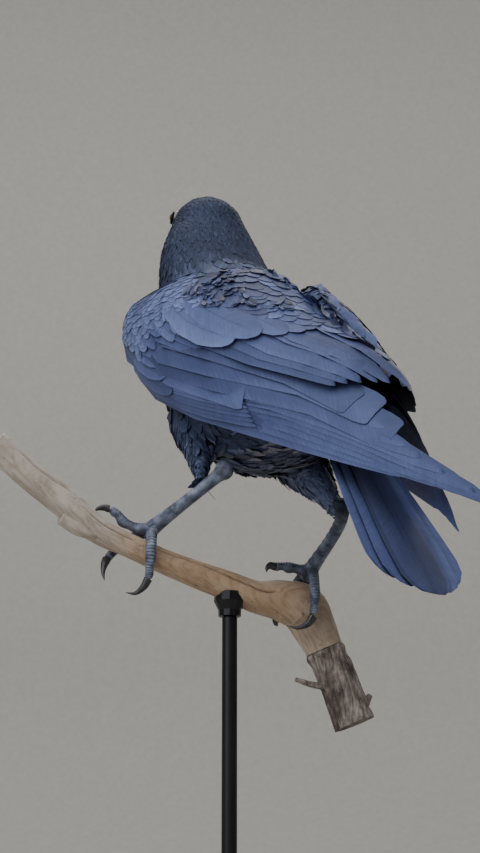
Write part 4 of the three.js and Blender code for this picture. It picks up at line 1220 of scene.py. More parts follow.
# ---- Coat of the head, neck and body: small velvety feathers on the head, longer pointed hackles on the
# throat, broad ones over the back and breast and loose ones on the belly and thighs, all lying tailwards.
# [mm down the spine; spacing, length, half width, build-up, stand-off of the tips], on the back and in front
BACK_COAT = [
    (0, 1.5, 8, 1.3, 0.3, 0.0), (30, 1.6, 10, 1.5, 0.4, 0.0), (60, 1.8, 13, 1.6, 0.6, 0.0),
    (85, 2.1, 16, 1.8, 1.0, 0.05), (102, 3.0, 18, 2.8, 2.2, 0.3), (118, 3.8, 19, 3.6, 2.0, 0.3),
    (140, 4.4, 22, 4.6, 2.4, 0.4), (165, 5.4, 26, 5.6, 2.8, 0.4), (200, 6.4, 32, 7, 3.0, 0.4),
    (260, 7.4, 38, 8, 3.2, 0.4), (320, 7.0, 42, 7.5, 3, 0.5), (374, 6.5, 42, 7, 2.5, 0.3),
]
FRONT_COAT = [
    (0, 1.5, 6, 1.1, 0.5, 0.1), (30, 1.7, 10, 1.3, 0.8, 0.3), (60, 2.0, 16, 1.5, 1.4, 1.2),
    (85, 2.4, 24, 1.8, 2.0, 2.0), (110, 3.2, 28, 2.4, 2.8, 2.0), (140, 4.0, 28, 3.2, 3.0, 1.4),
    (200, 4.6, 30, 4.2, 3.4, 0.8), (260, 4.4, 34, 4.0, 3.8, 1.0), (320, 4.4, 36, 3.8, 4, 1.8),
    (374, 4.6, 36, 4.0, 3, 1.4),
]
CANDIDATES_PER_ROOT, COAT_CURL = 7, 0.16
OPEN_EYE, BILL_STARTS = 7.6, 47  # mm: round the eye, and ahead of the skull's middle, no feather grows
LOW_BODY = 230  # mm down the spine
FACE_END, HEAD_END, NAPE_END, NECK_END = 22, 58, 132, 168  # mm down the spine
# The nape's collar, thick, its tips turned in, painted light; the crease below, painted shadow: mm down the
# spine.
COLLAR, COLLAR_BUILD_UP, COLLAR_STAND_OFF, CREASE_SHADOW = (101, 130), 4.0, -2.0, (130, 170)
NEVER_IN_FRONT = 0.45  # how far collar and crease come round, on the scale from -1 (back) to 1 (front)
# Loose pale feathers on the flank: [mm along the trunk, from and to; to the side at most; below its middle]
FLANK, FLANK_COAT = (-106, -52, 34, 28), (32, 3.2, 3.5, 3.0)
THIGH_LINES = {
    "left": [(20, 30, -8), (40, 40, -42), (20, 48, -80), (-1, 58, -107), (-8, 62, -117)],
    "right": [(10, -30, -30), (20, -42, -66), (-8, -42, -96), (-38, -40, -124), (-50, -39, -136)],
}
THIGH_COAT = (3.0, 22, 2.5, 2.2, 1.1)
HEEL_COAT_LENGTH, HEEL_COAT_FROM = 36, 0.108  # the right heel's longer ones, from so many metres down
THIGH_STEPS, THIGH_ENDS = 60, {"left": 53, "right": 60}  # the step of its line that the coat reaches to
THIGH_START, THIGH_REACH = 14, 32  # the step it starts at, and how many mm round the line it covers
TRUNK = [  # [along the trunk, half-width, back, belly]
    (-124, 8, 14, 6), (-113, 24, 20, 24), (-90, 40, 32, 54), (-50, 56, 48, 86), (0, 66, 58, 94),
    (50, 68, 60, 88), (85, 62, 61, 68), (108, 52, 57, 48), (122, 38, 50, 32), (132, 14, 34, 14),
]

flesh_left = unit(from_body([0, 1, 0]) - from_body([0, 0, 0]))


def coat_at(points, outward):
    """The coat's measures at skin points, where each lies on the spine, and how far it faces the front."""
    run, heading = on_spine(points)
    facing = (outward * unit(np.cross(heading, flesh_left))).sum(1)
    front = np.clip(0.3 + 0.9 * facing, 0, 1)[:, None]
    measures = smooth_rows(BACK_COAT, run) * (1 - front) + smooth_rows(FRONT_COAT, run) * front
    return measures, run, heading, facing


def thigh_heading(points):
    """For points on the thighs' outer part, the way down; which points those are; and which lie beyond."""
    level, body = to_level(points), to_body(points)
    heading, owned = np.zeros_like(points), np.zeros(len(points), bool)
    half_width, back, belly = smooth_rows(TRUNK, body[:, 0]).T
    depth = np.where(body[:, 2] < 0, belly, back)
    outside = (body[:, 1] / half_width) ** 2 + (body[:, 2] / depth) ** 2
    for side, line in THIGH_LINES.items():
        track = smooth_path(line, np.linspace(0, 1, THIGH_STEPS))
        way = unit(np.gradient(track, axis=0))
        gap = np.linalg.norm(level[:, None] - track[None], axis=2)
        near = gap.argmin(1)
        mine = (near > THIGH_START) & (near < THIGH_ENDS[side]) & (gap.min(1) < THIGH_REACH)
        mine &= (outside > 1.06) & (level[:, 2] < -30)
        heading[mine] = level_way(way[near])[mine]
        owned |= mine
    return heading, owned, (outside > 2.2) & ~owned & (level[:, 2] < -60)


def scattered(points, faces):
    """Places spread over a surface at random, thickly enough to choose evenly spaced roots from."""
    a, b, c = triangles_of(points, faces)
    cross = np.cross(b - a, c - a)
    area = np.linalg.norm(cross, axis=1) / 2
    spacing = coat_at((a + b + c) / 3, unit(cross))[0][:, 0]
    _, thigh, _ = thigh_heading((a + b + c) / 3)
    spacing[thigh] = THIGH_COAT[0]
    wanted = area / (spacing * MM) ** 2
    count = int(CANDIDATES_PER_ROOT * wanted.sum())
    chosen = rng.choice(len(area), count, p=wanted / wanted.sum())
    u, v = rng.random((2, count))
    u, v = np.where(u + v > 1, 1 - u, u), np.where(u + v > 1, 1 - v, v)
    return a[chosen] + u[:, None] * (b - a)[chosen] + v[:, None] * (c - a)[chosen]


def evenly(points, spacing):
    """A choice of the points in which none has a neighbour nearer than its spacing in mm."""
    finder = finder_of(points)
    taken, free = [], np.ones(len(points), bool)
    for i, point in enumerate(points):
        if free[i]:
            taken.append(i)
            free[[near for _, near, _ in finder.find_range(Vector(point), spacing[i] * MM)]] = False
    return np.array(taken)


places = scattered(flesh_points, flesh_faces)
place_out = onto_skin(places)[1]
measures, run, heading, facing = coat_at(places, place_out)
down_thigh, on_thigh, covered = thigh_heading(places)
measures[on_thigh] = THIGH_COAT
heading[on_thigh] = down_thigh[on_thigh]
right_heel = on_thigh & (places[:, 2] < BODY_AT[2] - HEEL_COAT_FROM) & (places[:, 0] < BODY_AT[0])
measures[right_heel, 1] = HEEL_COAT_LENGTH

# Where a wing lies over the body no feather grows; nor below a heel, in the eye or inside the bill.
for points, faces in cores + [cad_mesh("wing_left"), cad_mesh("wing_right")]:
    cover = BVHTree.FromPolygons(points.tolist(), faces)
    for i, (place, out) in enumerate(zip(places, place_out)):
        if not covered[i]:
            covered[i] = cover.ray_cast(Vector(place - 0.002 * out), Vector(out), 0.05)[0] is not None
in_head = to_head(places)
for side in (1, -1):
    covered |= np.linalg.norm(in_head - (16, side * 26, 11), axis=1) < OPEN_EYE
covered |= (in_head[:, 0] > BILL_STARTS) & (run < HEAD_END + 2)
keep = np.flatnonzero(~covered)
keep = keep[evenly(places[keep], measures[keep, 0])]

roots, ways, size = places[keep], heading[keep], measures[keep]
run, facing, on_thigh = run[keep], facing[keep], on_thigh[keep]
ways = ways + 0.12 * rng.standard_normal(ways.shape)
variety = 1 + 0.16 * rng.standard_normal((2, len(roots)))
# Painted shade and light: tone lowered where the coat faces the front, on the shaded underside, and raised on
# the thighs against their shade.
tones = 0.42 + 0.14 * rng.standard_normal(len(roots)) - 0.1 * np.clip(facing, 0, 1) + 0.14 * on_thigh
tones = np.clip(tones, 0.02, 1)
tones[on_thigh & (roots[:, 0] < BODY_AT[0])] += 0.45  # painted light: the right thigh is lightened against the shade it lies in
tones[run < FACE_END] -= 0.14
wear = np.zeros(len(roots))
velvet = sheen("head_feathers", (0.013, 0.015, 0.026), (0.027, 0.035, 0.066), (0.07, 0.088, 0.15),
               rough=0.62, streak=0.6, root_shading=0.3)
soft = sheen("body_feathers", (0.015, 0.018, 0.033), (0.048, 0.06, 0.115), (0.125, 0.15, 0.25),
             rough=0.55, streak=0.6, root_shading=0.35)
collar = (run > COLLAR[0]) & (run < COLLAR[1]) & (facing < NEVER_IN_FRONT) & ~on_thigh
size[collar, 3:] = (COLLAR_BUILD_UP, COLLAR_STAND_OFF)
# Painted light: the collar's feathers are lightened, as where they face the sky.
tones[collar] += 0.42
# Painted shadow: the feathers in the crease below the collar are darkened.
tones[(run > CREASE_SHADOW[0]) & (run < CREASE_SHADOW[1]) & (facing < NEVER_IN_FRONT)] -= 0.4
faded = (run > LOW_BODY) & (rng.random(len(run)) < 0.14)  # about every seventh one low on the body
tones[faded] += 0.4
low_end, low_start, sideways, below = FLANK
ahead, left, up = to_body(roots).T
flank = (ahead > low_end) & (ahead < low_start) & (np.abs(left) < sideways) & (up < -below)
flank &= (rng.random(len(run)) < 0.2) & ~on_thigh
size[flank, 1:] = FLANK_COAT
tones[flank], wear[flank] = 1.0, 0.6
REGIONS = {
    "feathers_head": (run < HEAD_END) & ~on_thigh,
    "feathers_nape": (run >= HEAD_END) & (run < NAPE_END) & ~on_thigh,
    "feathers_neck": (run >= NAPE_END) & (run < NECK_END) & ~on_thigh,
    "feathers_back": (run >= NECK_END) & (facing <= 0) & ~on_thigh,
    "feathers_belly": (run >= NECK_END) & (facing > 0) & ~on_thigh,
    "feathers_thighs": on_thigh,
}
for name, mine in REGIONS.items():
    head = name in ("feathers_head", "feathers_nape")
    hackles = mine & (facing > 0.3) & (run > 55) & (run < 190) & ~on_thigh
    loose = mine & ((facing > 0.2) & (run > LOW_BODY) | on_thigh) & ~hackles
    groups = []
    for chosen, tip in ((mine & ~hackles & ~loose, SMALL_TIP if head else ROUND_TIP),
                        (hackles, LANCE_TIP), (loose, FRAYED_TIP)):
        if chosen.any():
            length, width, rise, lift = size[chosen, 1:].T
            lift = lift * (0.6 + 0.8 * rng.random(len(length)))
            groups.append(laid(roots[chosen], ways[chosen], length * variety[0, chosen],
                               width * variety[1, chosen], tip, rise, lift, COAT_CURL, tones[chosen],
                               wear[chosen]))
    feathered(name, groups, velvet if head else soft)

# ---- Nasal bristles: stiff hair-like feathers that lie forward over the nostrils and the bill's base. They
# follow the upper sheath's form, a little way off it.
BRISTLES, BRISTLE_HALF_WIDTH = 190, 0.55  # their count, and mm
BRISTLE_TIP = np.array([(0, 0.7), (0.2, 1), (0.45, 0.85), (0.7, 0.6), (0.9, 0.35), (1, 0.15)])
around = rng.uniform(-1.35, 1.35, BRISTLES)
reach = rng.uniform(13, 21, BRISTLES)
start = rng.uniform(38, 49, BRISTLES)
shares, shape = BRISTLE_TIP.T
ahead = start[:, None] + reach[:, None] * shares
swing = around[:, None] * (1 + 0.12 * shares) + rng.normal(0, 0.05, BRISTLES)[:, None] * shares
half, top, bottom = (column.reshape(ahead.shape) for column in smooth_rows(UPPER_SHEATH, ahead.ravel()).T)
off = 0.5 + 1.3 * np.sin(shares * 2.4) + rng.uniform(0, 1.1, BRISTLES)[:, None]
core = (top + bottom) / 2
up = core + ((top - bottom) / 2 + off) * np.cos(swing)
middles = from_head(np.stack([ahead, (half + off) * np.sin(swing), up], -1))
heading = unit(np.gradient(middles, axis=1))
out = square_to(heading, unit(middles - from_head(np.stack([ahead, 0 * ahead, core], -1))))
halves = np.broadcast_to(BRISTLE_HALF_WIDTH * MM * shape, ahead.shape)
bake = np.stack([0.02 + 0.02 * start / 49, 0.5 + around / 8], 1)
bristles = blades(middles, np.cross(out, heading), out, halves, halves, halves * 0.35, halves * 0.1,
                  rng.uniform(0.05, 0.4, BRISTLES), np.zeros(BRISTLES), bake)
feathered("nasal_bristles", [bristles], velvet)

# ---- Wings: folded quills laid like tiles over one another, every row tucked under the one above it.
# Primaries and secondaries show below, the inner secondaries over them, then the coverts and shoulder.
# Each quill: [root x, t; halfway x, t; tip x, t; half width], x mm along the trunk, t down the fold.
SQUARE_TIP = [(0, 0.5), (0.2, 0.85), (0.45, 1), (0.75, 1), (0.95, 1), (0.98, 0.95), (0.993, 0.86), (1, 0.72)]
QUILL_TIP = [(0, 0.5), (0.15, 0.8), (0.35, 1), (0.55, 1), (0.72, 0.92), (0.85, 0.74), (0.94, 0.5),
             (0.985, 0.24), (1, 0.04)]
COVERT_TIP = [(0, 0.5), (0.2, 0.85), (0.45, 1), (0.7, 1), (0.84, 0.9), (0.93, 0.68), (0.98, 0.4), (1, 0.15)]
LESSER_TIP = [(0, 0.6), (0.3, 0.95), (0.6, 1), (0.8, 0.82), (0.93, 0.5), (1, 0.2)]
SECTION_SIDES = BLADE_SECTION[:, 0]
SECTION_RIDGES, UNDERSIDE = (0, 0.6, 1, 0.6, 0, 0), -0.3  # the underside's last line, in mm


def quills(fold, side, rows, tip, low, high, tilt=0.7, stack=0.12, tone=0.5, wear=0.0, slant=0.0, ridge=0.12):
    """Vanes that lie on a folded wing, the first row's on top. Millimetres: low and high, how far off its
    surface they lie at roots and tips; tilt, how far each lower edge stands over the next one; stack, how
    much deeper each lies than the one before; slant, how far the lower corner of the tip reaches beyond."""
    rows = np.asarray(rows, float)
    shares, shape = np.transpose(tip)
    count, rings = len(rows), len(shares)
    x0, _, _, _, x1, _, half = (column[:, None] for column in rows.T)
    x = x0 + (x1 - x0) * shares
    t = np.stack([smooth_rows(row[:6].reshape(3, 2)[::-1], line)[:, 0] for row, line in zip(rows, x)])
    here = on_wing(fold, side, x, t).reshape(count, rings, 3)
    along_x = on_wing(fold, side, x + 0.5, t).reshape(count, rings, 3) - here
    along_t = (on_wing(fold, side, x, t + 0.01).reshape(count, rings, 3) - here) / 0.01
    heading = unit(np.gradient(here, axis=1))
    out = unit(np.cross(along_t, along_x)) * side
    down = unit(np.cross(out, heading)) * side
    inverse = np.linalg.pinv(np.stack([along_x / 0.5, along_t], -1))
    across = np.einsum("crij,crj->cri", inverse, down)
    ahead = np.einsum("crij,crj->cri", inverse, heading)
    uneven = 1 + 0.03 * rng.standard_normal((2, count, rings))
    halves = half * shape * uneven * MM
    width = np.where(SECTION_SIDES < 0, halves[0][..., None], halves[1][..., None]) * SECTION_SIDES
    reach = slant * MM * (shares**5)[None, :, None] * width / (half[..., None] * MM)
    ridges = np.array(SECTION_RIDGES) * ridge
    ridges[-1] = UNDERSIDE
    depth = stack * np.arange(count)[:, None, None]
    height = (low + (high - low) * shares)[None, :, None] - depth + tilt * width / (half[..., None] * MM)
    height = height + ridges * np.clip(shape * 1.5, 0, 1)[None, :, None]
    shift = across[..., None, :] * width[..., None] + ahead[..., None, :] * reach[..., None]
    points = on_wing(fold, side, x[..., None] + shift[..., 0], t[..., None] + shift[..., 1], height)
    tones = np.broadcast_to(np.asarray(tone, float), (count,)) + 0.05 * rng.standard_normal(count)
    wears = np.broadcast_to(np.asarray(wear, float), (count,))
    layer = 0.5 if fold is LOWER_FOLD else 0
    bake = np.stack([0.03 + (105 - rows[:, 0]) / 460, 0.04 + 0.4 * rows[:, 1] + layer], 1)
    maps = vane_maps(SECTION_SIDES, width, run_along(here), tones, wears, bake)
    return {"points": points.reshape(*width.shape, 3), **maps}


def short(x0, t0, x1, t1, half, bow=0.0):
    """A short feather's row: its middle lies halfway, bowed down the wing."""
    return (x0, t0, (x0 + x1) / 2, (t0 + t1) / 2 + bow, x1, t1, half)


# The secondaries lie on a sheet of their own, from under the inner ones down over the primaries' roots.
SECONDARY_SHEET = [(-240, 2, 36, 11, 19, 0.5, 2), (-200, 12, 40, 30, 13, 1, 3), (-150, 29, 42, 51, 8, 2, 3),
                   (-100, 59, 29, 75, -5, 2, 3), (-50, 83, 16, 88, -22, 3, 3), (0, 92, -4, 93, -38, 3, 3),
                   (30, 90, -8, 91, -42, 3, 3)]
PRIMARY_TIPS = [(-218, 0.22), (-228, 0.26), (-240, 0.3), (-255, 0.34), (-275, 0.38), (-300, 0.42),
                (-317, 0.5), (-308, 0.6), (-290, 0.72), (-262, 0.85)]
PRIMARIES = [(45, 0.4 + 0.058 * k, (45 + x) / 2, (0.44 + 0.06 * k + t) / 2, x, t, 12.5 - 0.3 * k)
             for k, (x, t) in enumerate(PRIMARY_TIPS)]
SECONDARIES = [(40, -0.3, -75, 0.1, -186, 0.36, 14), (40, 0.1, -85, 0.4, -204, 0.26, 14.5),
               (40, 0.45, -90, 0.66, -228, 0.52, 14.5)]
# The inner ones lie on a sheet from the wing's top edge down to the middle of that one.
INNER_SHEET = [(-195, -17, 52, 30, 21, 7, 3), (-180, -15, 54, 36, 21, 8, 3), (-165, -9, 61, 42, 20, 12, 3),
               (-140, -2, 65, 54, 17, 15.5, 3), (-100, 5, 66, 74, 5, 18, 3), (-50, 10, 68, 91, -12, 26.5, 3),
               (0, 17, 69, 97, -29, 34.5, 3), (40, 31, 56, 94, -33, 29.5, 3), (80, 54, 23, 89, -33, 21, 3)]
INNER_SECONDARIES = [(70, 0.02, -121, 0.19, -188, 0.0, 10), (72, 0.2, -123, 0.42, -184, 0.25, 13),
                     (74, 0.3, -118, 0.46, -181, 0.38, 13), (76, 0.42, -125, 0.62, -177, 0.54, 13),
                     (78, 0.54, -118, 0.69, -173, 0.67, 13), (80, 0.64, -112, 0.77, -169, 0.77, 12.5)]
PRIMARY_COVERTS = [(52, 0.44 + 0.05 * k, -50, 0.58 + 0.05 * k, -108 - 3.4 * k, 0.64 + 0.042 * k, 5.6)
                   for k in range(8)]
BROAD_COVERT = [(40, 0.36, -40, 0.56, -112, 0.66, 10)]
ALULA = [(66, 0.3, 30, 0.36, -11, 0.42, 6.8), (60, 0.45, 20, 0.56, -24, 0.6, 7),
         (54, 0.62, 10, 0.74, -38, 0.8, 7.4)]
SECONDARY_COVERTS = [short(84 - 10 * k, 0.96 - 0.05 * k, -36 - 5.5 * k, 0.93 - 0.04 * k, 6.6, -0.01)
                     for k in range(8, -1, -1)]
MEDIAN_COVERTS = [short(74 - 9 * k + 3 * (k % 3), 0.76 - 0.03 * k, 20 - 9 * k + 6 * (k % 2),
                        0.82 - 0.024 * k + 0.03 * (k % 3), 5.4 + (k % 2)) for k in range(8, -1, -1)]
SCAPULARS = [short(16, 0.5, -92, 0.62, 13, 0.05), short(24, 0.6, -79, 0.75, 12.5, 0.05),
             short(-4, 0.42, -106, 0.5, 11, 0.02), short(-20, 0.3, -112, 0.4, 10)]
# Their tones; the second is painted lighter against the shade that its slope falls into.
SCAPULAR_TONES_AND_LIGHT = np.array([0.55, 0.85, 0.5, 0.45])
RIGHT_WING_SHADE = 0.45  # painted shade: the right wing's inner feathers at this share of the left one's tone
RIGHT_INNER_SHORTER = 16  # mm

vane = sheen("wing_feathers", (0.024, 0.029, 0.064), (0.068, 0.088, 0.2), (0.15, 0.19, 0.37),
             rough=0.46, streak=0.3, root_shading=0.4, shade=0.6)


# How far down the wing the mantle's feathers reach: [mm along the trunk], [share of the fold]
MANTLE_EDGE = ((-125, -100, -80, -59, -43, -25, 0, 15, 40, 66, 76),
               (0.12, 0.17, 0.24, 0.36, 0.46, 0.5, 0.5, 0.46, 0.36, 0.22, 0.1))
SCALE_STEP, SCALE_SHARE = 4.6, 0.075  # from one lesser covert to the next: mm along, and share of the fold
# They end at a share of the fold; behind a place along the trunk the larger coverts begin higher up.
SCALES_END, LARGER_FROM, LARGER_START = 0.87, 24, 0.66


def lesser_coverts():
    """Small soft scales over the bend and front of the wing, smallest at its edge, not quite in rows."""
    rows = []
    for line, x in enumerate(np.arange(-20, 106, SCALE_STEP)):
        size = np.interp(x, (-20, 60, 103), (1.25, 1.0, 0.66))
        for t in np.arange(0.0, 0.98, SCALE_SHARE) + 0.037 * (line % 2):
            under_mantle = t < np.interp(x, *MANTLE_EDGE) - 0.1
            if under_mantle or t > SCALES_END or x < LARGER_FROM and t > LARGER_START:
                continue
            jitter = rng.normal(0, 1, 5)
            rows.append(short(x + 9 + 1.6 * jitter[0], t - 0.02 + 0.012 * jitter[1],
                              x - 9 * size + 2.4 * jitter[4], t + 0.03 + 0.025 * jitter[2],
                              4.3 * size * (1 + 0.18 * jitter[3])))
    order = rng.permutation(len(rows))
    return [rows[i] for i in order[np.argsort([rows[i][0] // 9 for i in order], kind="stable")]][::-1]


for side, wing in ((1, "left"), (-1, "right")):
    # Painted shade: the right wing's secondaries, inner secondaries and scapulars get a darker tone.
    inner, lit = np.array(INNER_SECONDARIES), 1.0
    if wing == "right":
        inner[:, 4] += RIGHT_INNER_SHORTER
        lit = RIGHT_WING_SHADE
    feathered(f"quills_{wing}", [
        quills(LOWER_FOLD, side, PRIMARIES, QUILL_TIP, -0.9, -0.5, tilt=0.6, stack=0.12, tone=0.46),
        quills(LOWER_FOLD, side, PRIMARY_COVERTS, QUILL_TIP, -0.6, 0.3, tilt=0.7, stack=0.08, tone=0.5),
        quills(LOWER_FOLD, side, BROAD_COVERT, SQUARE_TIP, 0.2, 0.8, tone=0.6, slant=3),
        quills(LOWER_FOLD, side, ALULA, COVERT_TIP, 0.9, 1.4, tilt=0.7, stack=0.2, tone=0.55),
        quills(SECONDARY_SHEET, side, SECONDARIES, SQUARE_TIP, -1.0, 0.2, tilt=0.9, stack=0.5,
               tone=0.38 * lit, slant=1),
        quills(INNER_SHEET, side, inner, QUILL_TIP, -6.5, 1.8, tilt=0.9, stack=0.25, tone=0.36 * lit),
    ], vane)
    feathered(f"coverts_{wing}", [
        quills(UPPER_FOLD, side, SECONDARY_COVERTS, COVERT_TIP, 0.0, 1.0, tilt=0.9, stack=0.12, tone=0.56),
        quills(UPPER_FOLD, side, MEDIAN_COVERTS, COVERT_TIP, 0.5, 1.5, tilt=0.7, stack=0.05, tone=0.66),
        quills(INNER_SHEET, side, SCAPULARS, COVERT_TIP, -4.0, 1.6, tilt=0.7, stack=0.25,
               tone=SCAPULAR_TONES_AND_LIGHT * lit),
        quills(UPPER_FOLD, side, lesser_coverts(), LESSER_TIP, 0.5, 1.6, tilt=0.3, stack=0, tone=0.85,
               ridge=0.05),
    ], vane)

# ---- Mantle: the feathers between the wings, which bridge the groove between their folds and spread
# over their top edges. On the left shoulder small dark ones stand up in disorder, a few of them worn brown.
BACK_GRID = (np.arange(-200, 121, 4.0), np.arange(-60, 61, 3.0))  # mm along the trunk, and to the left
SPREAD = 7  # cells that the hollows are bridged over
EDGE_FALL, SUNK_AT_MOST = 1.5, 0.6  # mm: beyond the back's edge from cell to cell, and below the real forms
FOLD_RINGS, FOLD_LINES = 60, 16  # of the net that stands in for a wing's top here


def back_heights():
    """How high the back is over the trunk's middle, over a grid: skin and wings, with the hollows bridged."""
    forms = [(flesh_points, flesh_faces)]
    for side in (1, -1):
        lines = np.linspace(0, 1, FOLD_LINES)
        rings = [on_wing(UPPER_FOLD, side, x, lines) for x in np.linspace(105, -178, FOLD_RINGS)]
        faces = tube_faces(FOLD_RINGS, FOLD_LINES, capped=False)
        open_net = [face for face in faces if face[0] % FOLD_LINES < FOLD_LINES - 1]
        forms.append((np.vstack(rings), open_net))
    points, faces = together(*forms)
    solid = BVHTree.FromPolygons(to_body(points).tolist(), faces)
    along, across = BACK_GRID
    heights = np.full((len(along), len(across)), np.nan)
    for i, x in enumerate(along):
        for j, y in enumerate(across):
            hit = solid.ray_cast(Vector((x, y, 260)), Vector((0, 0, -1)))[0]
            heights[i, j] = hit.z if hit is not None else np.nan
    while np.isnan(heights).any():  # beyond its edges the back goes on, a little lower from cell to cell
        gaps = np.isnan(heights)
        padded = np.pad(heights, 1, constant_values=np.nan)
        near = np.stack([padded[:-2, 1:-1], padded[2:, 1:-1], padded[1:-1, :-2], padded[1:-1, 2:]])
        with np.errstate(all="ignore"):
            heights[gaps] = (np.nanmean(near, axis=0) - EDGE_FALL)[gaps]
    bridged = heights.copy()
    for _ in range(SPREAD):
        padded = np.pad(bridged, 1, mode="edge")
        mean = (padded[:-2, 1:-1] + padded[2:, 1:-1] + 2 * padded[1:-1, :-2] + 2 * padded[1:-1, 2:]
                + 2 * padded[1:-1, 1:-1]) / 8
        bridged = np.maximum(mean, heights - SUNK_AT_MOST)
    return bridged


back = back_heights()


def on_back(x, y, height=0.0):
    """Places over the bridged back, in the trunk's frame, and the way out of it there."""
    along, across = BACK_GRID

    def level(x, y):
        i = np.clip((x - along[0]) / (along[1] - along[0]), 0, len(along) - 1.001)
        j = np.clip((y - across[0]) / (across[1] - across[0]), 0, len(across) - 1.001)
        a, b = i.astype(int), j.astype(int)
        u, v = i - a, j - b
        return (back[a, b] * (1 - u) * (1 - v) + back[a + 1, b] * u * (1 - v) + back[a, b + 1] * (1 - u) * v
                + back[a + 1, b + 1] * u * v)

    z = level(x, y)
    slope_x = (level(x + 4, y) - level(x - 4, y)) / 8
    slope_y = (level(x, y + 4) - level(x, y - 4)) / 8
    out = unit(np.stack([-slope_x, -slope_y, np.ones_like(z)], -1))
    return np.stack([x, y, z], -1) + out * np.asarray(height)[..., None], out


def over_back(rows, tip, rise, tone, wear, curl):
    """Vanes over the back, from rows of: root x, y; length; half width; degrees turned out; stand-off of the
    tip; height of the root."""
    rows = np.asarray(rows, float)
    shares, shape = np.transpose(tip)
    x, y, length, half, turn, lift, root = (column[:, None] for column in rows.T)
    x, y = x - length * shares * np.cos(np.radians(turn)), y + length * shares * np.sin(np.radians(turn))
    height = root + rise * shares**0.8 + lift * shares**2.4
    middles, out = on_back(x, y, height)
    heading = unit(np.gradient(middles, axis=1))
    out = square_to(heading, out)
    across = np.cross(out, heading)
    uneven = 1 + 0.05 * rng.standard_normal((2, len(rows), len(shares)))
    halves = half * shape * uneven * MM
    ridge = np.full(halves.shape[1:], 0.00025)
    bake = np.stack([0.5 + rows[:, 1] / 160, 0.5 - rows[:, 0] / 460], 1)
    return blades(from_body(middles), across @ BODY_TURN.T, out @ BODY_TURN.T, halves[0], halves[1], ridge,
                  halves.mean(0) * curl, tone, wear, bake)


# In rows across the back, from its front to its end, every other row shifted by half a feather; and in
# rows down over the wings' tops, that begin further forward on the right.
BACK_ROWS, BACK_STEP, BACK_SHIFT = np.arange(22, -110, -7.0), 8.5, 4.2  # mm
TOP_ROWS = {1: np.arange(18, -118, -8.2), -1: np.arange(34, -118, -8.2)}  # mm
TOP_SHARE = 0.1  # of the fold, from one to the next
# The tousled ones on the left wing's top: [mm along the trunk, share of the fold; how many]
MUSSED = [(0, 0.38, 12), (-14, 0.42, 10), (-30, 0.44, 6), (-10, 0.26, 14), (-34, 0.29, 10), (6, 0.16, 10),
          (-54, 0.32, 6), (-72, 0.2, 8)]
MUSSED_LEANS = (0.9, -0.6)  # mm that the lower edges of one half and of the other stand up by
rows, tones, wears = [], [], []
for line, x in enumerate(BACK_ROWS):
    reach = np.interp(x, (-110, -50, 20, 40), (12, 18, 27, 32))
    for y in np.arange(-reach, reach + 1, BACK_STEP) + BACK_SHIFT * (line % 2) - 1.5:
        shake = rng.standard_normal(6)
        length = np.interp(x, (-96, 0, 98), (36, 28, 22)) * (1 + 0.1 * shake[0])
        half = np.interp(x, (-96, 0, 98), (8, 7.6, 6.2)) * (1 + 0.1 * shake[1])
        rows.append((x + 2 * shake[2], y + 1.2 * shake[3], length, half, 0.25 * y + 6 * shake[4],
                     0.1 + 0.4 * max(shake[5], 0), np.interp(x, (-90, -20, 0, 38), (0.6, 0.4, 1.4, 0.6))))
        tones.append(0.34 + 0.08 * shake[2])
        wears.append(0.05 * max(shake[3], 0))
layers = [over_back(rows, ROUND_TIP, 1.4, np.array(tones), np.array(wears), 0.05)]
for side, leans in ((1, MUSSED_LEANS), (-1, ())):
    rows = []
    for line, x in enumerate(TOP_ROWS[side]):
        for t in np.arange(0.0, np.interp(x, *MANTLE_EDGE), TOP_SHARE) + TOP_SHARE / 2 * (line % 2):
            shake = rng.standard_normal(5)
            long = np.interp(x, (-110, 0, 66), (37, 33, 24)) * (1 + 0.1 * shake[0])
            start = x + 12 + 2 * shake[1]
            half = 8.4 if t > 0.04 else 4.4  # narrow along the fold's top edge
            rows.append(short(start, t + 0.01 * shake[2], start - long, t + 0.02 + 0.02 * shake[3],
                              half * (1 + 0.1 * shake[4])))
    starts, shares = np.transpose(rows)[:2]
    worn = np.clip(0.05 * rng.standard_normal(len(rows)), 0, 1)
    # Painted shade: the right wing's top rows are darker, as that wing lies in shadow.
    tones = 0.46 + 0.08 * rng.standard_normal(len(rows)) - (0.2 if side < 0 else 0)
    tones[starts > 24] -= 0.4  # painted shade: the front rows darkened for the crease between neck and shoulder
    tones[(np.abs(starts + 6) < 30) & (np.abs(shares - 0.3) < 0.16)] -= 0.22  # painted shadow under the tousled ones
    layers.append(quills(UPPER_FOLD, side, rows, ROUND_TIP, -0.6, 2.2, tilt=0.35, stack=0, tone=tones,
                         wear=worn, ridge=0.08))
    for lean in leans:
        rows = []
        for x, t, count in MUSSED:
            for shake in rng.standard_normal((count // 2, 5)):
                start, long = x + 8 + 5 * shake[0], 12 + 2 * shake[1]
                rows.append(short(start, t + 0.03 * shake[2], start - long, t + 0.02 + 0.05 * shake[3],
                                  2.3 + 0.4 * shake[4]))
        worn = np.where(rng.random(len(rows)) < 0.14, 0.6, 0.02)
        tones = np.clip(0.34 + 0.16 * rng.standard_normal(len(rows)), 0, 1)
        layers.append(quills(UPPER_FOLD, side, rows, LESSER_TIP, 1.2, 3.8, tilt=lean, stack=0, tone=tones,
                             wear=worn, ridge=0.1))
feathered("feathers_mantle", layers, vane)

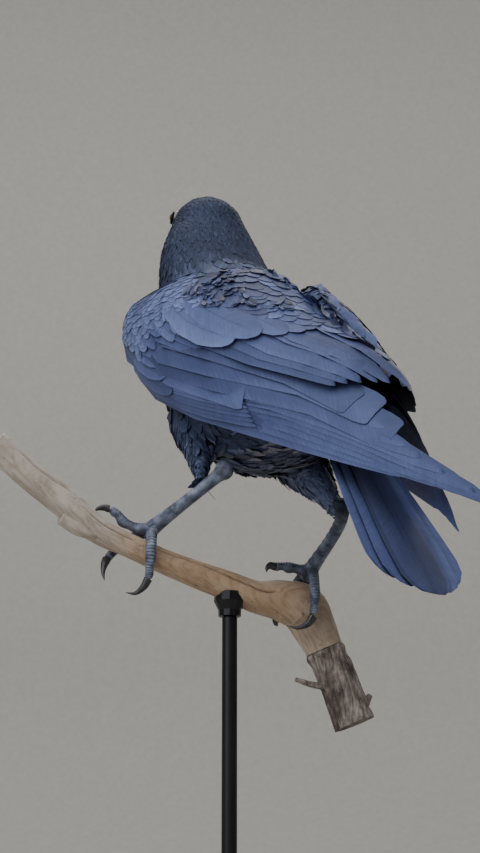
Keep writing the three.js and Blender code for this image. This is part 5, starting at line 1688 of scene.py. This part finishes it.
# ---- Tail: twelve blades closed to a narrow fan, the middle pair on top, each narrow at its root and
# round at its end, with shorter coverts over and under their roots.
TAIL_ROOT, TAIL_LENGTH, TAIL_STEP = (-98, -7, 13), 230, 1.7  # mm; the outer ones are shorter by steps
TAIL_DROP, TAIL_TURN, TAIL_FAN, TAIL_ROLL = 15, 1, 0.75, 3  # degrees; the last two from one to the next
TAIL_TIP = [(0, 0.35), (0.12, 0.5), (0.28, 0.66), (0.45, 0.77), (0.62, 0.89), (0.78, 0.98), (0.88, 1),
            (0.94, 0.9), (0.98, 0.6), (1, 0.2)]


def tail_vanes(outs, length, half, lift, tone, tip):
    """Straight vanes of the fan, by how many places each lies from its middle."""
    outs, length = np.asarray(outs, float), np.asarray(length, float)
    shares, shape = np.transpose(tip)
    middles, acrosses, faces = [], [], []
    for out, reach in zip(outs, length):
        turn = np.array(Matrix.Rotation(math.radians(-TAIL_DROP), 3, "Y")
                        @ Matrix.Rotation(math.radians(-out * TAIL_FAN - TAIL_TURN), 3, "Z")
                        @ Matrix.Rotation(math.radians(out * TAIL_ROLL), 3, "X"))
        root = np.array(TAIL_ROOT) + (0, 2.4 * out, -1.3 * abs(out))
        bowed = (lift + 0.6 * np.sin(shares * math.pi))[:, None] * turn[:, 2]
        middles.append(from_body(root - (reach * shares)[:, None] * turn[:, 0] + bowed))
        acrosses.append(np.tile(BODY_TURN @ turn[:, 1], (len(shares), 1)))
        faces.append(np.tile(BODY_TURN @ turn[:, 2], (len(shares), 1)))
    middles, acrosses, faces = np.array(middles), np.array(acrosses), np.array(faces)
    uneven = 1 + 0.025 * rng.standard_normal((2, len(outs), len(shares)))
    halves = np.asarray(half) * shape * uneven * MM
    ridge = np.full((len(outs), len(shares)), 0.00045)
    bake = np.stack([0.1 + 0.06 * (outs + 6), np.full(len(outs), 0.5) + 0.0005 * length], 1)
    tones = tone + 0.04 * rng.standard_normal(len(outs))
    return blades(middles, acrosses, faces, halves[0], halves[1], ridge, halves.mean(0) * 0.06, tones,
                  np.zeros(len(outs)), bake, outs < 0)


outs = np.array([-5.5, -5.1, -3.6, -3.2, -1.3, -0.6, 0.6, 1.3, 3.2, 3.6, 5.1, 5.5])
lengths = TAIL_LENGTH - TAIL_STEP * np.abs(outs) ** 1.5
over, under = np.array([-4.2, -2.6, -0.9, 0.8, 2.5, 4.3]), np.array([-4.4, -2.2, 0.2, 2.2, 4.4])
feathered("tail_feathers", [
    # The middle blades are painted dark: painted shade where the wings' tips shadow the tail's middle.
    tail_vanes(outs, lengths, 15.5, 0.0, np.interp(np.abs(outs - 0.8), (1, 3), (0.1, 0.58)), TAIL_TIP),
    tail_vanes(over, 96 - 3 * np.abs(over), 9, 3.0, 0.35, ROUND_TIP),
    tail_vanes(under, 104 - 3 * np.abs(under), 9, -5.0, 0.2, ROUND_TIP),
], vane)
